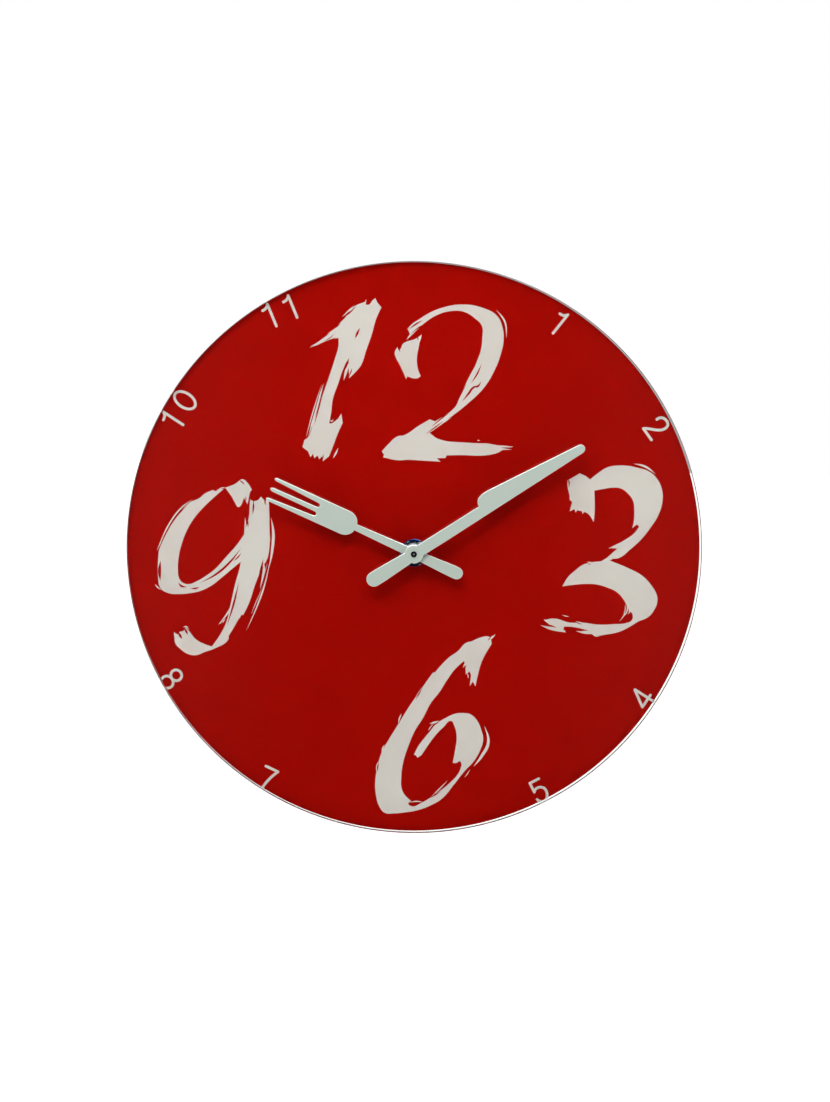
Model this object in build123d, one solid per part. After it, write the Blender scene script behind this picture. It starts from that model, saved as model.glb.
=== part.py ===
from build123d import *
from math import acos, atan2, cos, degrees, pi, radians, sin, sqrt
import os

# Round wall clock: a printed glass plate on a quartz movement, with a fork and a knife for hands.
#
# Everything is built as on a bench, with the clock lying on its back:
#   x to the right of the dial, y up the dial, z out of the wall, towards the room.
# z = 0 is the wall, and x = y = 0 is the axis of the hands. The last step stands the clock up,
# so that in the finished model +Z is up, +Y points into the wall and the wall is the plane y = 0.

# ---------------------------------------------------------------- driving sizes, in millimetres

# glass plate and its print
PLATE_DIAMETER = 300.0
GLASS_THICKNESS = 4.0
GLASS_EDGE_BEVEL = 0.5
GLASS_HOLE_GAP = 0.3
INK_THICKNESS = 0.1
PRINT_MARGIN = 0.6
ARTWORK_DIAMETER = 300.0

# one AA cell, which sets how wide and how deep the movement is
CELL_DIAMETER = 14.2
CELL_LENGTH = 50.5
CELL_NUB_RADIUS = 2.6
CELL_NUB_LENGTH = 1.2
CELL_BACK_GAP = 0.25
CELL_FRONT_GAP = 0.05
CELL_SIDE_GAP = 0.3
SLEEVE_THICKNESS = 0.2

# movement case
CASE_WALL = 1.5
FRONT_WALL = 1.5
REAR_FLOOR = 1.5
CASE_CORNER = 4.0
CASE_SPLIT = 7.5
NEGATIVE_SPACE = 1.6
POSITIVE_SPACE = 0.9
BAY_WALL = 1.2
WELL_OFF_BAY = 0.175
WHEEL_OFF_BAY = 0.4
CONTACT_THICKNESS = 0.4
CONTACT_GAP = 0.02
CONTACT_OFF_CORNER = 0.1
LEAF_INSET = 0.2
LEAF_WIDTH = 4.0
FINGER_WIDTH = 1.6
STRIP_GAP = 0.1

# hanger loop
HANGER_HOLE_RADIUS = 3.5
HANGER_RIM = 2.7
HANGER_THICKNESS = 2.4
HANGER_RISE = 4.6

# bush, nut and washers that clamp the glass
BUSH_RADIUS = 4.0
BUSH_FLANGE_LIP = 1.0
BUSH_FLANGE = 0.9
BUSH_PAST_NUT = 0.5
THREAD_GAP = 0.05
RUBBER_THICKNESS = 1.0
RUBBER_RADIUS = 12.0
DIAL_WASHER_RADIUS = 7.2
DIAL_WASHER_THICKNESS = 0.5
NUT_ACROSS_FLATS = 12.0
NUT_THICKNESS = 2.2

# arbors, one inside the other
SECONDS_RADIUS = 0.5
MINUTE_TUBE_RADIUS = 1.6
MINUTE_TAIL_RADIUS = 1.1
HOUR_PIPE_RADIUS = 2.5
RUNNING_GAP = 0.06
PIVOT_RADIUS = 0.25
PIVOT_GAP = 0.05
PIVOT_LENGTH = 0.6
TUBE_MOUTH_RADIUS = 1.25
TUBE_MOUTH_DEPTH = 1.2

# hands
HAND_THICKNESS = 0.7
HOUR_ANGLE = 292.4
MINUTE_ANGLE = 55.7
HOUR_HAND_OFF_BUSH = 1.1
HANDS_APART = 1.8
COLLET_LENGTH = 0.7
COLLET_RIM = 0.25
COLLET_WALL = 0.9
RIVET_WALL = 0.5

# gears
WHEEL_THICKNESS = 0.7
LEVEL_STEP = 1.6
PINION_EXTRA = 0.3
THIRD_DISTANCE = 10.2
THIRD_ANGLE = 35.0
INTERMEDIATE_ANGLE = 165.0
ROTOR_ANGLE = 115.0
ARBOR_OFF_WHEEL = 0.6217
ROTOR_MODULE = 0.25
MOTION_MODULE = 0.36
MOTION_ANGLE = 180.0
MOTION_POST_RADIUS = 0.6
SETTING_ANGLE = 214.0
PLATE_THICKNESS = 1.2
PLATE_OFF_WHEEL = 0.4
REAR_PIVOT_ROOM = 1.3
MOTION_SPACE = 4.3
WEB_SHARE = 0.6
CLUTCH_HUB_RADIUS = 2.2
CLUTCH_REACH = 4.4
CLUTCH_PAD_RADIUS = 0.9
CLUTCH_THICKNESS = 0.15

# stepping motor
MAGNET_RADIUS = 3.0
MAGNET_LENGTH = 2.8
ROTOR_AIR_GAP = 0.6
STATOR_THICKNESS = 1.2
STATOR_RIM = 1.0
LEG_WIDTH = 3.0
COIL_RADIUS = 3.4
BOBBIN_FLANGE_LIP = 0.4
BOBBIN_FLANGE = 0.8
BOBBIN_RADIUS = 2.4
CORE_WIDTH = 3.0
CORE_THICKNESS = 1.2
COIL_RISE = 12.4
COIL_GAP = 1.25
LEG_OFFSET = 8.5
STATOR_PEG_RADIUS = 0.7
STATOR_PEG_RISE = 3.4
WIRE_RADIUS = 0.12
LEAD_PITCH = 1.6

# circuit board
BOARD_WIDTH = 15.0
BOARD_HEIGHT = 21.0
BOARD_THICKNESS = 0.8
BOARD_LEVEL = 1.2
BOARD_OFF_WALL = 0.8
BOARD_OFF_BAY = 1.1
BOARD_PEG_RADIUS = 0.6
BOARD_PEG_INSET = 2.5
CRYSTAL_RADIUS = 1.0
CRYSTAL_LENGTH = 6.0
CRYSTAL_LEAD_RADIUS = 0.15
CHIP_DOME_RADIUS = 5.0
CHIP_HEIGHT = 1.0

# setting knob
KNOB_RADIUS = 5.0
KNOB_THICKNESS = 1.6
KNOB_SETBACK = 0.2
KNOB_WELL_GAP = 0.5
KNOB_SCALLOPS = 20
KNOB_SCALLOP_RADIUS = 0.45
WELL_FLOOR = 0.8
STEM_RADIUS = 0.8

# posts, pegs and snap tongues
POST_RADIUS = 1.4
POST_PEG_RADIUS = 0.7
TONGUE_WIDTH = 6.0
TONGUE_THICKNESS = 0.8
TONGUE_HEIGHTS = (2.0, 16.0)
TONGUE_PAST_SPLIT = 2.8
WINDOW_GAP = 0.2
BARB = 0.6
BARB_LENGTH = 1.1

# ---------------------------------------------------------------- sizes that follow

PLATE_RADIUS = PLATE_DIAMETER / 2
ARTWORK_SCALE = PLATE_DIAMETER / ARTWORK_DIAMETER

# the case is as deep as the cell needs or as its wheels need, whichever is more
WHEELS_DEPTH = REAR_PIVOT_ROOM + PINION_EXTRA + 3 * LEVEL_STEP + WHEEL_THICKNESS + PLATE_OFF_WHEEL
MOVEMENT_DEPTH = WHEELS_DEPTH + PLATE_THICKNESS + MOTION_SPACE
CEILING = max(CELL_BACK_GAP + CELL_DIAMETER + CELL_FRONT_GAP, REAR_FLOOR + MOVEMENT_DEPTH)
CASE_DEPTH = CEILING + FRONT_WALL
INNER_WIDTH = NEGATIVE_SPACE + CELL_LENGTH + POSITIVE_SPACE
INNER = INNER_WIDTH / 2
HALF = INNER + CASE_WALL

PRINT_BACK = CASE_DEPTH + RUBBER_THICKNESS
GLASS_BACK = PRINT_BACK + 2 * INK_THICKNESS
GLASS_FRONT = GLASS_BACK + GLASS_THICKNESS
NUT_BACK = GLASS_FRONT + DIAL_WASHER_THICKNESS
NUT_FRONT = NUT_BACK + NUT_THICKNESS
BUSH_FRONT = NUT_FRONT + BUSH_PAST_NUT
BUSH_FLANGE_RADIUS = BUSH_RADIUS + BUSH_FLANGE_LIP
HOUR_HAND_BACK = BUSH_FRONT + HOUR_HAND_OFF_BUSH
HOUR_STACK_FRONT = HOUR_HAND_BACK + HAND_THICKNESS + COLLET_RIM
MINUTE_HAND_BACK = HOUR_HAND_BACK + HAND_THICKNESS + HANDS_APART
MINUTE_STACK_FRONT = MINUTE_HAND_BACK + HAND_THICKNESS + COLLET_RIM
MINUTE_TUBE_FRONT = MINUTE_STACK_FRONT + 0.15
SECONDS_FRONT = MINUTE_TUBE_FRONT + 0.4

CELL_RADIUS = CELL_DIAMETER / 2
CELL_Z = CELL_BACK_GAP + CELL_RADIUS
CELL_LEFT = -INNER + NEGATIVE_SPACE
CELL_RIGHT = CELL_LEFT + CELL_LENGTH

PLATE_FRONT = CEILING - MOTION_SPACE
PLATE_BACK = PLATE_FRONT - PLATE_THICKNESS


def polar(distance, angle, start=(0.0, 0.0)):
    """The point at that distance and angle, in degrees anticlockwise from +x, from a start point."""
    turn = radians(angle)
    return (start[0] + distance * cos(turn), start[1] + distance * sin(turn))


# ---------------------------------------------------------------- plain solids on the bench


def disc(radius, low, high, at=(0.0, 0.0)):
    """A round rod or disc from one depth to another."""
    place = Pos(at[0], at[1], low)
    return place * Cylinder(radius, high - low, align=(Align.CENTER, Align.CENTER, Align.MIN))


def ring(outer, inner, low, high, at=(0.0, 0.0)):
    """A tube or washer from one depth to another."""
    return disc(outer, low, high, at) - disc(inner, low - 1, high + 1, at)


def block(x0, x1, y0, y1, z0, z1):
    """A box given by its two faces along each axis."""
    middle = Pos((x0 + x1) / 2, (y0 + y1) / 2, (z0 + z1) / 2)
    return middle * Box(x1 - x0, y1 - y0, z1 - z0)


def slab(face, low, high):
    """A flat outline given thickness, from one depth to another."""
    return Pos(0, 0, low) * extrude(face, amount=high - low, dir=(0, 0, 1))


def rounded_block(half_width, bottom, top, corner, low, high):
    """A slab with round corners, centred on the hand axis from side to side."""
    outline = RectangleRounded(2 * half_width, top - bottom, corner)
    return slab(Pos(0, (bottom + top) / 2) * outline, low, high)


def rod(start, end, radius):
    """A round rod between two points in space."""
    path = Line(start, end)
    section = Plane(origin=path @ 0, z_dir=path % 0) * Circle(radius)
    return sweep(section, path=path)


# ---------------------------------------------------------------- gear teeth


def roll(pitch_radius, rolling_radius, radius):
    """Where a cycloid tooth flank is at a radius: its angle past the flank's foot, in radians.

    The flank is the curve that a point of the rolling circle draws as it rolls round the pitch
    circle, so it works with a mate whose flanks below the pitch circle are straight and radial.
    """
    centre = pitch_radius + rolling_radius
    share = (centre**2 + rolling_radius**2 - radius**2) / (2 * rolling_radius * centre)
    turn = rolling_radius / pitch_radius * acos(share)
    x = centre * cos(turn) - rolling_radius * cos(centre / rolling_radius * turn)
    y = centre * sin(turn) - rolling_radius * sin(centre / rolling_radius * turn)
    return atan2(y, x)


class Toothing:
    """One set of teeth: how many, how large, what they mesh with and how they are turned."""

    def __init__(self, teeth, module, mate_teeth, at=(0.0, 0.0), phase=0.0):
        self.teeth = teeth
        self.module = module
        self.mate_teeth = mate_teeth
        self.at = at
        self.phase = phase
        self.drives = teeth > mate_teeth
        self.pitch = teeth * module / 2
        self.tip = self.pitch + (1.1 if self.drives else 0.8) * module
        self.root = self.pitch - (1.3 if self.drives else 1.55) * module

    def outline(self):
        """The closed outline of the teeth."""
        rolling = self.mate_teeth * self.module / 4
        share = 0.47 if self.drives else 0.42
        half = share * pi / self.teeth
        middle = (self.pitch + self.tip) / 2
        lean_middle = roll(self.pitch, rolling, middle)
        lean_tip = roll(self.pitch, rolling, self.tip)
        step = 2 * pi / self.teeth

        def point(radius, angle):
            return (radius * cos(angle), radius * sin(angle))

        edges = []
        for number in range(self.teeth):
            tooth = radians(self.phase) + number * step
            foot = tooth - half
            end = tooth + half
            gap_end = tooth + step - half
            edges.append(Line(point(self.root, foot), point(self.pitch, foot)))
            edges.append(
                ThreePointArc(
                    point(self.pitch, foot),
                    point(middle, foot + lean_middle),
                    point(self.tip, foot + lean_tip),
                )
            )
            edges.append(
                ThreePointArc(
                    point(self.tip, foot + lean_tip),
                    point(self.tip, tooth),
                    point(self.tip, end - lean_tip),
                )
            )
            edges.append(
                ThreePointArc(
                    point(self.tip, end - lean_tip),
                    point(middle, end - lean_middle),
                    point(self.pitch, end),
                )
            )
            edges.append(Line(point(self.pitch, end), point(self.root, end)))
            edges.append(
                ThreePointArc(
                    point(self.root, end),
                    point(self.root, (end + gap_end) / 2),
                    point(self.root, gap_end),
                )
            )
        return Wire(edges)

    def solid(self, low, high, holes=()):
        """The toothed disc between two depths. holes is (radius, centre) for each opening in it."""
        inner = [Pos(x, y, 0) * Wire.make_circle(radius) for radius, (x, y) in holes]
        face = Face(self.outline(), inner)
        return Pos(self.at[0], self.at[1], low) * extrude(face, amount=high - low)


def mesh_with(driver, teeth, at):
    """A set of teeth in mesh with driver, centred at a point."""
    direction = degrees(atan2(at[1] - driver.at[1], at[0] - driver.at[0]))
    driver_place = (direction - driver.phase) * driver.teeth / 360
    phase = direction + 180 - (0.5 - driver_place) * 360 / teeth
    return Toothing(teeth, driver.module, driver.teeth, at, phase)


def web_openings(wheel, hub_radius, count, start=0.0):
    """Evenly spaced round openings in a wheel's web, midway between its hub and its teeth."""
    width = wheel.root - hub_radius
    radius = WEB_SHARE * width / 2
    distance = hub_radius + width / 2
    return [(radius, polar(distance, start + 360 * n / count)) for n in range(count)]


# ---------------------------------------------------------------- the train's plan

CENTRE = (0.0, 0.0)

# seconds pinion 8 to third wheel 60, third pinion 8 to centre wheel 64: 60 to 1
THIRD_AT = polar(THIRD_DISTANCE, THIRD_ANGLE)
SECONDS_PINION = Toothing(8, 2 * THIRD_DISTANCE / 68, 60, CENTRE)
THIRD_WHEEL = mesh_with(SECONDS_PINION, 60, THIRD_AT)
THIRD_PINION = Toothing(8, 2 * THIRD_DISTANCE / 72, 64, THIRD_AT)
CENTRE_WHEEL = mesh_with(THIRD_PINION, 64, CENTRE)

# rotor pinion 8 to intermediate wheel 48, intermediate pinion 10 to seconds wheel 50: 30 to 1
# the intermediate arbor passes the rim of the centre wheel, which sets how far out it stands
SECONDS_MODULE = (CENTRE_WHEEL.tip + SECONDS_RADIUS + ARBOR_OFF_WHEEL) / 30
SECONDS_WHEEL = Toothing(50, SECONDS_MODULE, 10, CENTRE)
INTERMEDIATE_AT = polar(SECONDS_MODULE * 30, INTERMEDIATE_ANGLE)
INTERMEDIATE_PINION = mesh_with(SECONDS_WHEEL, 10, INTERMEDIATE_AT)
INTERMEDIATE_WHEEL = Toothing(48, ROTOR_MODULE, 8, INTERMEDIATE_AT)
ROTOR_AT = polar(ROTOR_MODULE * 28, ROTOR_ANGLE, INTERMEDIATE_AT)
ROTOR_PINION = mesh_with(INTERMEDIATE_WHEEL, 8, ROTOR_AT)

# cannon pinion 10 to motion wheel 30, motion pinion 8 to hour wheel 32: 12 to 1
MOTION_DISTANCE = MOTION_MODULE * 20
MOTION_AT = polar(MOTION_DISTANCE, MOTION_ANGLE)
CANNON_PINION = Toothing(10, MOTION_MODULE, 30, CENTRE)
MOTION_WHEEL = mesh_with(CANNON_PINION, 30, MOTION_AT)
MOTION_PINION = Toothing(8, MOTION_MODULE, 32, MOTION_AT)
HOUR_WHEEL = mesh_with(MOTION_PINION, 32, CENTRE)
SETTING_AT = polar(MOTION_DISTANCE, SETTING_ANGLE, MOTION_AT)
SETTING_PINION = mesh_with(MOTION_WHEEL, 10, SETTING_AT)

# the cell bay begins below the knob's well and the large wheels, whichever reaches lowest
WELL_RADIUS = KNOB_RADIUS + KNOB_WELL_GAP
WELL_DEPTH = KNOB_SETBACK + KNOB_THICKNESS + 0.2
WELL_REACH = WELL_RADIUS + WELL_FLOOR + WELL_OFF_BAY - SETTING_AT[1]
WHEEL_REACH = max(CENTRE_WHEEL.tip, SECONDS_WHEEL.tip) + WHEEL_OFF_BAY
ROOM_BOTTOM = -max(WELL_REACH, WHEEL_REACH)
BAY_TOP = ROOM_BOTTOM - BAY_WALL
CELL_Y = BAY_TOP - CELL_SIDE_GAP - CELL_RADIUS
BAY_BOTTOM = CELL_Y - CELL_RADIUS - CELL_SIDE_GAP
CASE_BOTTOM = BAY_BOTTOM - CASE_WALL

# depths of the wheels behind the middle plate, each given by its back face
CENTRE_LEVEL = PLATE_BACK - PLATE_OFF_WHEEL - WHEEL_THICKNESS
THIRD_LEVEL = CENTRE_LEVEL - LEVEL_STEP
SECONDS_LEVEL = THIRD_LEVEL - LEVEL_STEP
INTERMEDIATE_LEVEL = SECONDS_LEVEL - LEVEL_STEP
TAIL_BACK = CENTRE_LEVEL - 0.45

# depths of the motion work in front of the middle plate
CANNON_BACK = PLATE_FRONT + 0.2
CANNON_FRONT = CANNON_BACK + 1.6
MOTION_LEVEL = CANNON_BACK + 0.4
HOUR_HUB_BACK = CANNON_FRONT + 0.2
HOUR_LEVEL = CANNON_FRONT + 0.5
MOTION_TOP = HOUR_LEVEL + WHEEL_THICKNESS + 0.2

# stepping motor
STATOR_LEVEL = SECONDS_LEVEL + WHEEL_THICKNESS + 0.2
STATOR_FRONT = STATOR_LEVEL + STATOR_THICKNESS
MAGNET_LEVEL = STATOR_LEVEL + (STATOR_THICKNESS - MAGNET_LENGTH) / 2
STATOR_HOLE = MAGNET_RADIUS + ROTOR_AIR_GAP
BAND_HALF = STATOR_HOLE + STATOR_RIM
LEFT_LEG_X = ROTOR_AT[0] - LEG_OFFSET
RIGHT_LEG_X = ROTOR_AT[0] + LEG_OFFSET
COIL_Y = ROTOR_AT[1] + COIL_RISE
BOBBIN_FLANGE_RADIUS = COIL_RADIUS + BOBBIN_FLANGE_LIP
ROOM_TOP = COIL_Y + BOBBIN_FLANGE_RADIUS + COIL_GAP
CASE_TOP = ROOM_TOP + CASE_WALL
CORE_FRONT = STATOR_FRONT + CORE_THICKNESS
COIL_Z = STATOR_FRONT + CORE_THICKNESS / 2
STATOR_PEGS = [(x, ROTOR_AT[1] + STATOR_PEG_RISE) for x in (LEFT_LEG_X, RIGHT_LEG_X)]

# circuit board
BOARD_BACK = PLATE_FRONT + BOARD_LEVEL
BOARD_FRONT = BOARD_BACK + BOARD_THICKNESS
BOARD_RIGHT = INNER - BOARD_OFF_WALL
BOARD_LEFT = BOARD_RIGHT - BOARD_WIDTH
BOARD_BOTTOM = ROOM_BOTTOM + BOARD_OFF_BAY
BOARD_TOP = BOARD_BOTTOM + BOARD_HEIGHT
BOARD_PEGS = [
    (BOARD_LEFT + BOARD_PEG_INSET, BOARD_TOP - BOARD_PEG_INSET),
    (BOARD_RIGHT - BOARD_PEG_INSET, BOARD_BOTTOM + BOARD_PEG_INSET),
]
CRYSTAL_AT = (BOARD_RIGHT - 3.2, BOARD_BOTTOM + 13.0)
CHIP_AT = (BOARD_LEFT + 7.0, BOARD_BOTTOM + 9.0)

# middle plate and the posts that carry it
PLATE_LEFT = LEFT_LEG_X - 2.2
PLATE_RIGHT = THIRD_AT[0] + THIRD_WHEEL.tip + 0.87
PLATE_BOTTOM = ROOM_BOTTOM + 0.7
PLATE_TOP = COIL_Y - BOBBIN_FLANGE_RADIUS - 0.4
POSTS = [
    (PLATE_LEFT + 1.8, PLATE_BOTTOM + 1.8),
    (BOARD_LEFT - POST_RADIUS - 0.4, PLATE_BOTTOM + 1.6),
    (PLATE_RIGHT - 1.9, PLATE_TOP - 1.9),
    (PLATE_LEFT + 5.0, PLATE_TOP - 1.8),
]

# snap tongues
TONGUE_FRONT = CASE_SPLIT + TONGUE_PAST_SPLIT


# ---------------------------------------------------------------- glass and print


def glass_disc():
    """Clear plate with a bevelled edge and a hole for the bush."""
    plate = disc(PLATE_RADIUS, GLASS_BACK, GLASS_FRONT)
    plate = chamfer(plate.edges().filter_by(GeomType.CIRCLE), GLASS_EDGE_BEVEL)
    return plate - disc(BUSH_RADIUS + GLASS_HOLE_GAP, GLASS_BACK - 1, GLASS_FRONT + 1)


def outline(*runs):
    """A closed flat outline. Each run of two points is straight, and a longer run is a curve."""
    edges = []
    for run in runs:
        points = [(x * ARTWORK_SCALE, y * ARTWORK_SCALE) for x, y in run]
        edges.append(Line(*points) if len(points) == 2 else Spline(*points))
    return make_face(Wire(edges))


def brush_one():
    """The 1 of the brushed 12: a serif swept in from the left and a ragged stem."""
    return outline(
        [(-57.0, 104.5), (-47.0, 112.0), (-38.0, 121.0), (-30.0, 128.0)],
        [(-30.0, 128.0), (-25.0, 129.5)],
        [(-25.0, 129.5), (-21.5, 126.0)],
        [(-21.5, 126.0), (-25.5, 113.0), (-29.5, 101.0), (-35.0, 91.5)],
        [(-35.0, 91.5), (-37.5, 97.0)],
        [(-37.5, 97.0), (-42.0, 87.0), (-45.5, 75.0), (-46.0, 66.0)],
        [(-46.0, 66.0), (-40.0, 69.0)],
        [(-40.0, 69.0), (-42.5, 58.5), (-46.5, 49.0)],
        [(-46.5, 49.0), (-54.5, 49.0)],
        [(-54.5, 49.0), (-59.5, 53.0)],
        [(-59.5, 53.0), (-54.5, 67.0), (-49.0, 84.0), (-44.0, 100.0), (-43.0, 109.0)],
        [(-43.0, 109.0), (-57.0, 104.5)],
    )


def brush_two():
    """The 2 of the brushed 12: the long hook with its foot, and the dab inside its curl."""
    hook = outline(
        [(-7.5, 113.0), (0.0, 121.0), (10.0, 127.0), (21.0, 129.0), (32.0, 127.5), (40.0, 122.0),
         (43.5, 113.0), (41.0, 101.0), (35.0, 89.5), (25.0, 78.5), (15.0, 70.0), (6.0, 62.5)],
        [(6.0, 62.5), (12.0, 59.3), (25.0, 58.3), (37.0, 58.0), (48.0, 56.5)],
        [(48.0, 56.5), (38.0, 52.5), (27.0, 51.8), (15.0, 51.0)],
        [(15.0, 51.0), (10.0, 48.0)],
        [(10.0, 48.0), (-17.5, 48.8)],
        [(-17.5, 48.8), (-18.3, 52.0)],
        [(-18.3, 52.0), (-11.0, 60.0), (-3.0, 64.0), (5.0, 69.0)],
        [(5.0, 69.0), (8.5, 69.0)],
        [(8.5, 69.0), (19.0, 77.5), (26.0, 90.0), (30.3, 103.0), (31.0, 113.0), (27.0, 121.5),
         (18.0, 125.5), (8.0, 123.0), (0.0, 117.5), (-7.5, 111.0)],
        [(-7.5, 111.0), (-7.5, 113.0)],
    )
    dab = outline(
        [(0.0, 112.0), (-2.0, 103.0), (0.0, 91.0)],
        [(0.0, 91.0), (-7.0, 91.0)],
        [(-7.0, 91.0), (-11.0, 97.0), (-13.5, 103.5)],
        [(-13.5, 103.5), (-9.0, 108.3), (0.0, 112.0)],
    )
    return hook + dab


def brush_three():
    """The brushed 3: a flag, the upper bowl, the lower bowl and a ragged tail."""
    return outline(
        [(79.0, 40.5), (84.5, 44.5)],
        [(84.5, 44.5), (90.0, 41.5)],
        [(90.0, 41.5), (98.0, 48.0), (108.0, 49.3), (119.0, 47.2), (126.5, 40.0), (127.7, 29.0),
         (121.5, 16.0), (113.0, 6.0), (106.0, 1.0)],
        [(106.0, 1.0), (102.5, -0.5)],
        [(102.5, -0.5), (114.0, -4.5), (124.0, -12.0), (128.3, -21.0), (123.0, -29.7),
         (112.0, -36.5), (97.0, -40.0), (83.0, -38.7), (70.0, -37.0)],
        [(70.0, -37.0), (70.5, -33.5)],
        [(70.5, -33.5), (78.0, -33.0), (88.0, -34.3), (100.0, -34.7), (110.0, -33.8),
         (115.5, -31.5)],
        [(115.5, -31.5), (115.0, -27.0)],
        [(115.0, -27.0), (111.5, -21.0), (104.0, -15.2), (93.0, -13.3), (78.5, -15.0)],
        [(78.5, -15.0), (82.5, -8.5), (88.5, -3.3), (99.0, -1.0)],
        [(99.0, -1.0), (106.0, 6.0)],
        [(106.0, 6.0), (109.0, 9.7), (114.5, 14.5)],
        [(114.5, 14.5), (113.3, 17.5)],
        [(113.3, 17.5), (113.8, 26.0), (110.5, 34.5), (103.0, 37.7), (92.5, 36.0)],
        [(92.5, 36.0), (93.0, 20.0)],
        [(93.0, 20.0), (88.0, 25.0)],
        [(88.0, 25.0), (80.5, 25.5)],
        [(80.5, 25.5), (79.0, 40.5)],
    )


def brush_six():
    """The brushed 6: the long stem that turns under, and the hooked bowl."""
    return outline(
        [(42.0, -43.0), (33.0, -45.5), (24.5, -52.0), (12.0, -64.5), (2.0, -79.5), (-7.0, -96.0),
         (-14.0, -111.0), (-16.0, -124.0), (-13.5, -136.5), (-7.0, -140.2), (5.0, -138.5),
         (18.0, -132.5), (29.0, -119.0), (38.5, -106.0), (39.8, -94.0), (34.0, -85.6),
         (25.0, -85.0), (15.0, -91.2), (8.0, -100.0), (4.0, -107.5)],
        [(4.0, -107.5), (6.5, -109.0)],
        [(6.5, -109.0), (14.0, -98.0), (23.5, -89.5)],
        [(23.5, -89.5), (26.0, -99.0), (25.0, -111.5)],
        [(25.0, -111.5), (29.5, -112.5)],
        [(29.5, -112.5), (23.0, -123.0), (14.0, -130.7), (5.0, -135.5)],
        [(5.0, -135.5), (-1.5, -127.5), (-2.0, -114.0), (2.5, -99.0), (10.0, -84.0),
         (19.0, -69.0), (28.5, -56.5)],
        [(28.5, -56.5), (31.0, -64.0)],
        [(31.0, -64.0), (34.5, -69.0)],
        [(34.5, -69.0), (42.0, -43.0)],
    )


def brush_nine():
    """The brushed 9: a bowl swept up to a stem that hooks back, and the dab on top."""
    stroke = outline(
        [(-85.5, 23.5), (-88.5, 9.0), (-94.0, -1.5), (-103.0, -12.0), (-111.0, -18.5),
         (-119.0, -21.2), (-123.3, -13.0), (-121.5, 0.0), (-114.5, 14.5), (-100.5, 29.3)],
        [(-100.5, 29.3), (-109.0, 26.5), (-120.0, 20.0), (-129.0, 8.0), (-133.5, -6.0),
         (-132.5, -22.0), (-126.0, -26.5), (-112.5, -25.0), (-101.0, -18.0), (-90.5, -9.0)],
        [(-90.5, -9.0), (-93.0, -23.0), (-97.5, -41.0), (-104.5, -54.0)],
        [(-104.5, -54.0), (-112.0, -51.5), (-118.5, -45.0)],
        [(-118.5, -45.0), (-123.8, -50.0)],
        [(-123.8, -50.0), (-123.0, -54.0), (-113.5, -59.0), (-103.0, -55.0), (-95.5, -48.5),
         (-86.5, -32.0), (-80.0, -13.0), (-76.0, 6.0), (-76.5, 23.5)],
        [(-76.5, 23.5), (-81.0, 25.8)],
        [(-81.0, 25.8), (-85.5, 23.5)],
    )
    dab = outline(
        [(-99.5, 29.0), (-95.0, 32.0), (-91.0, 34.3)],
        [(-91.0, 34.3), (-86.0, 29.8)],
        [(-86.0, 29.8), (-92.5, 20.5)],
        [(-92.5, 20.5), (-99.5, 29.0)],
    )
    return stroke + dab


# thin numerals: strokes drawn about each digit's own middle
DIGIT_STROKE = 1.4
DIGIT_PITCH = 11.6
LOW = -6.0
HIGH = 6.0


def stroke(*points):
    """A pen stroke of even width with round ends: straight for two points, else a curve."""
    straight = len(points) == 2
    path = Line(*points) if straight else Spline(*points)
    spans = 1 if straight else 3 * len(points)
    half = DIGIT_STROKE / 2

    def beside(share, along, across):
        spot = path @ share
        ahead = path % share
        x = spot.X + along * ahead.X - across * ahead.Y
        return (x, spot.Y + along * ahead.Y + across * ahead.X)

    left = [beside(n / spans, 0, half) for n in range(spans + 1)]
    right = [beside(1 - n / spans, 0, -half) for n in range(spans + 1)]
    sides = [Line(*side) if straight else Spline(*side) for side in (left, right)]
    end = ThreePointArc(left[-1], beside(1, half, 0), right[0])
    start = ThreePointArc(right[-1], beside(0, -half, 0), left[0])
    return make_face(Wire([sides[0], end, sides[1], start]))


def loop(x_radius, y_radius, at_y=0.0):
    """A closed oval stroke of even width."""
    half = DIGIT_STROKE / 2
    oval = Ellipse(x_radius + half, y_radius + half) - Ellipse(x_radius - half, y_radius - half)
    return Pos(0, at_y) * oval


def digit(character):
    """One thin numeral, upright."""
    if character == "0":
        return loop(3.7, HIGH)
    if character == "1":
        return stroke((0.4, LOW), (0.4, HIGH)) + stroke((0.4, HIGH), (-0.9, 4.5), (-3.1, 3.9))
    if character == "2":
        curl = stroke((-3.2, 2.4), (-2.2, 5.1), (0.2, HIGH), (2.7, 5.0), (3.1, 2.6),
                      (1.6, -0.4), (-3.4, LOW))
        return curl + stroke((-3.4, LOW), (3.8, LOW))
    if character == "4":
        slope = stroke((1.6, HIGH), (-3.9, -2.4))
        return slope + stroke((-3.9, -2.4), (3.7, -2.4)) + stroke((1.8, HIGH), (1.8, LOW))
    if character == "5":
        bowl = stroke((-2.9, 0.6), (-0.2, 1.9), (2.6, 0.3), (2.9, -2.6), (0.3, LOW),
                      (-2.2, -5.4), (-3.4, -3.6))
        return bowl + stroke((-2.8, HIGH), (2.5, HIGH)) + stroke((-2.8, HIGH), (-2.9, 0.6))
    if character == "7":
        return stroke((-3.6, HIGH), (3.5, HIGH)) + stroke((3.5, HIGH), (1.0, 0.4), (-0.4, LOW))
    return loop(2.9, 2.85, 3.15) + loop(3.3, 3.1, -2.9)


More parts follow.
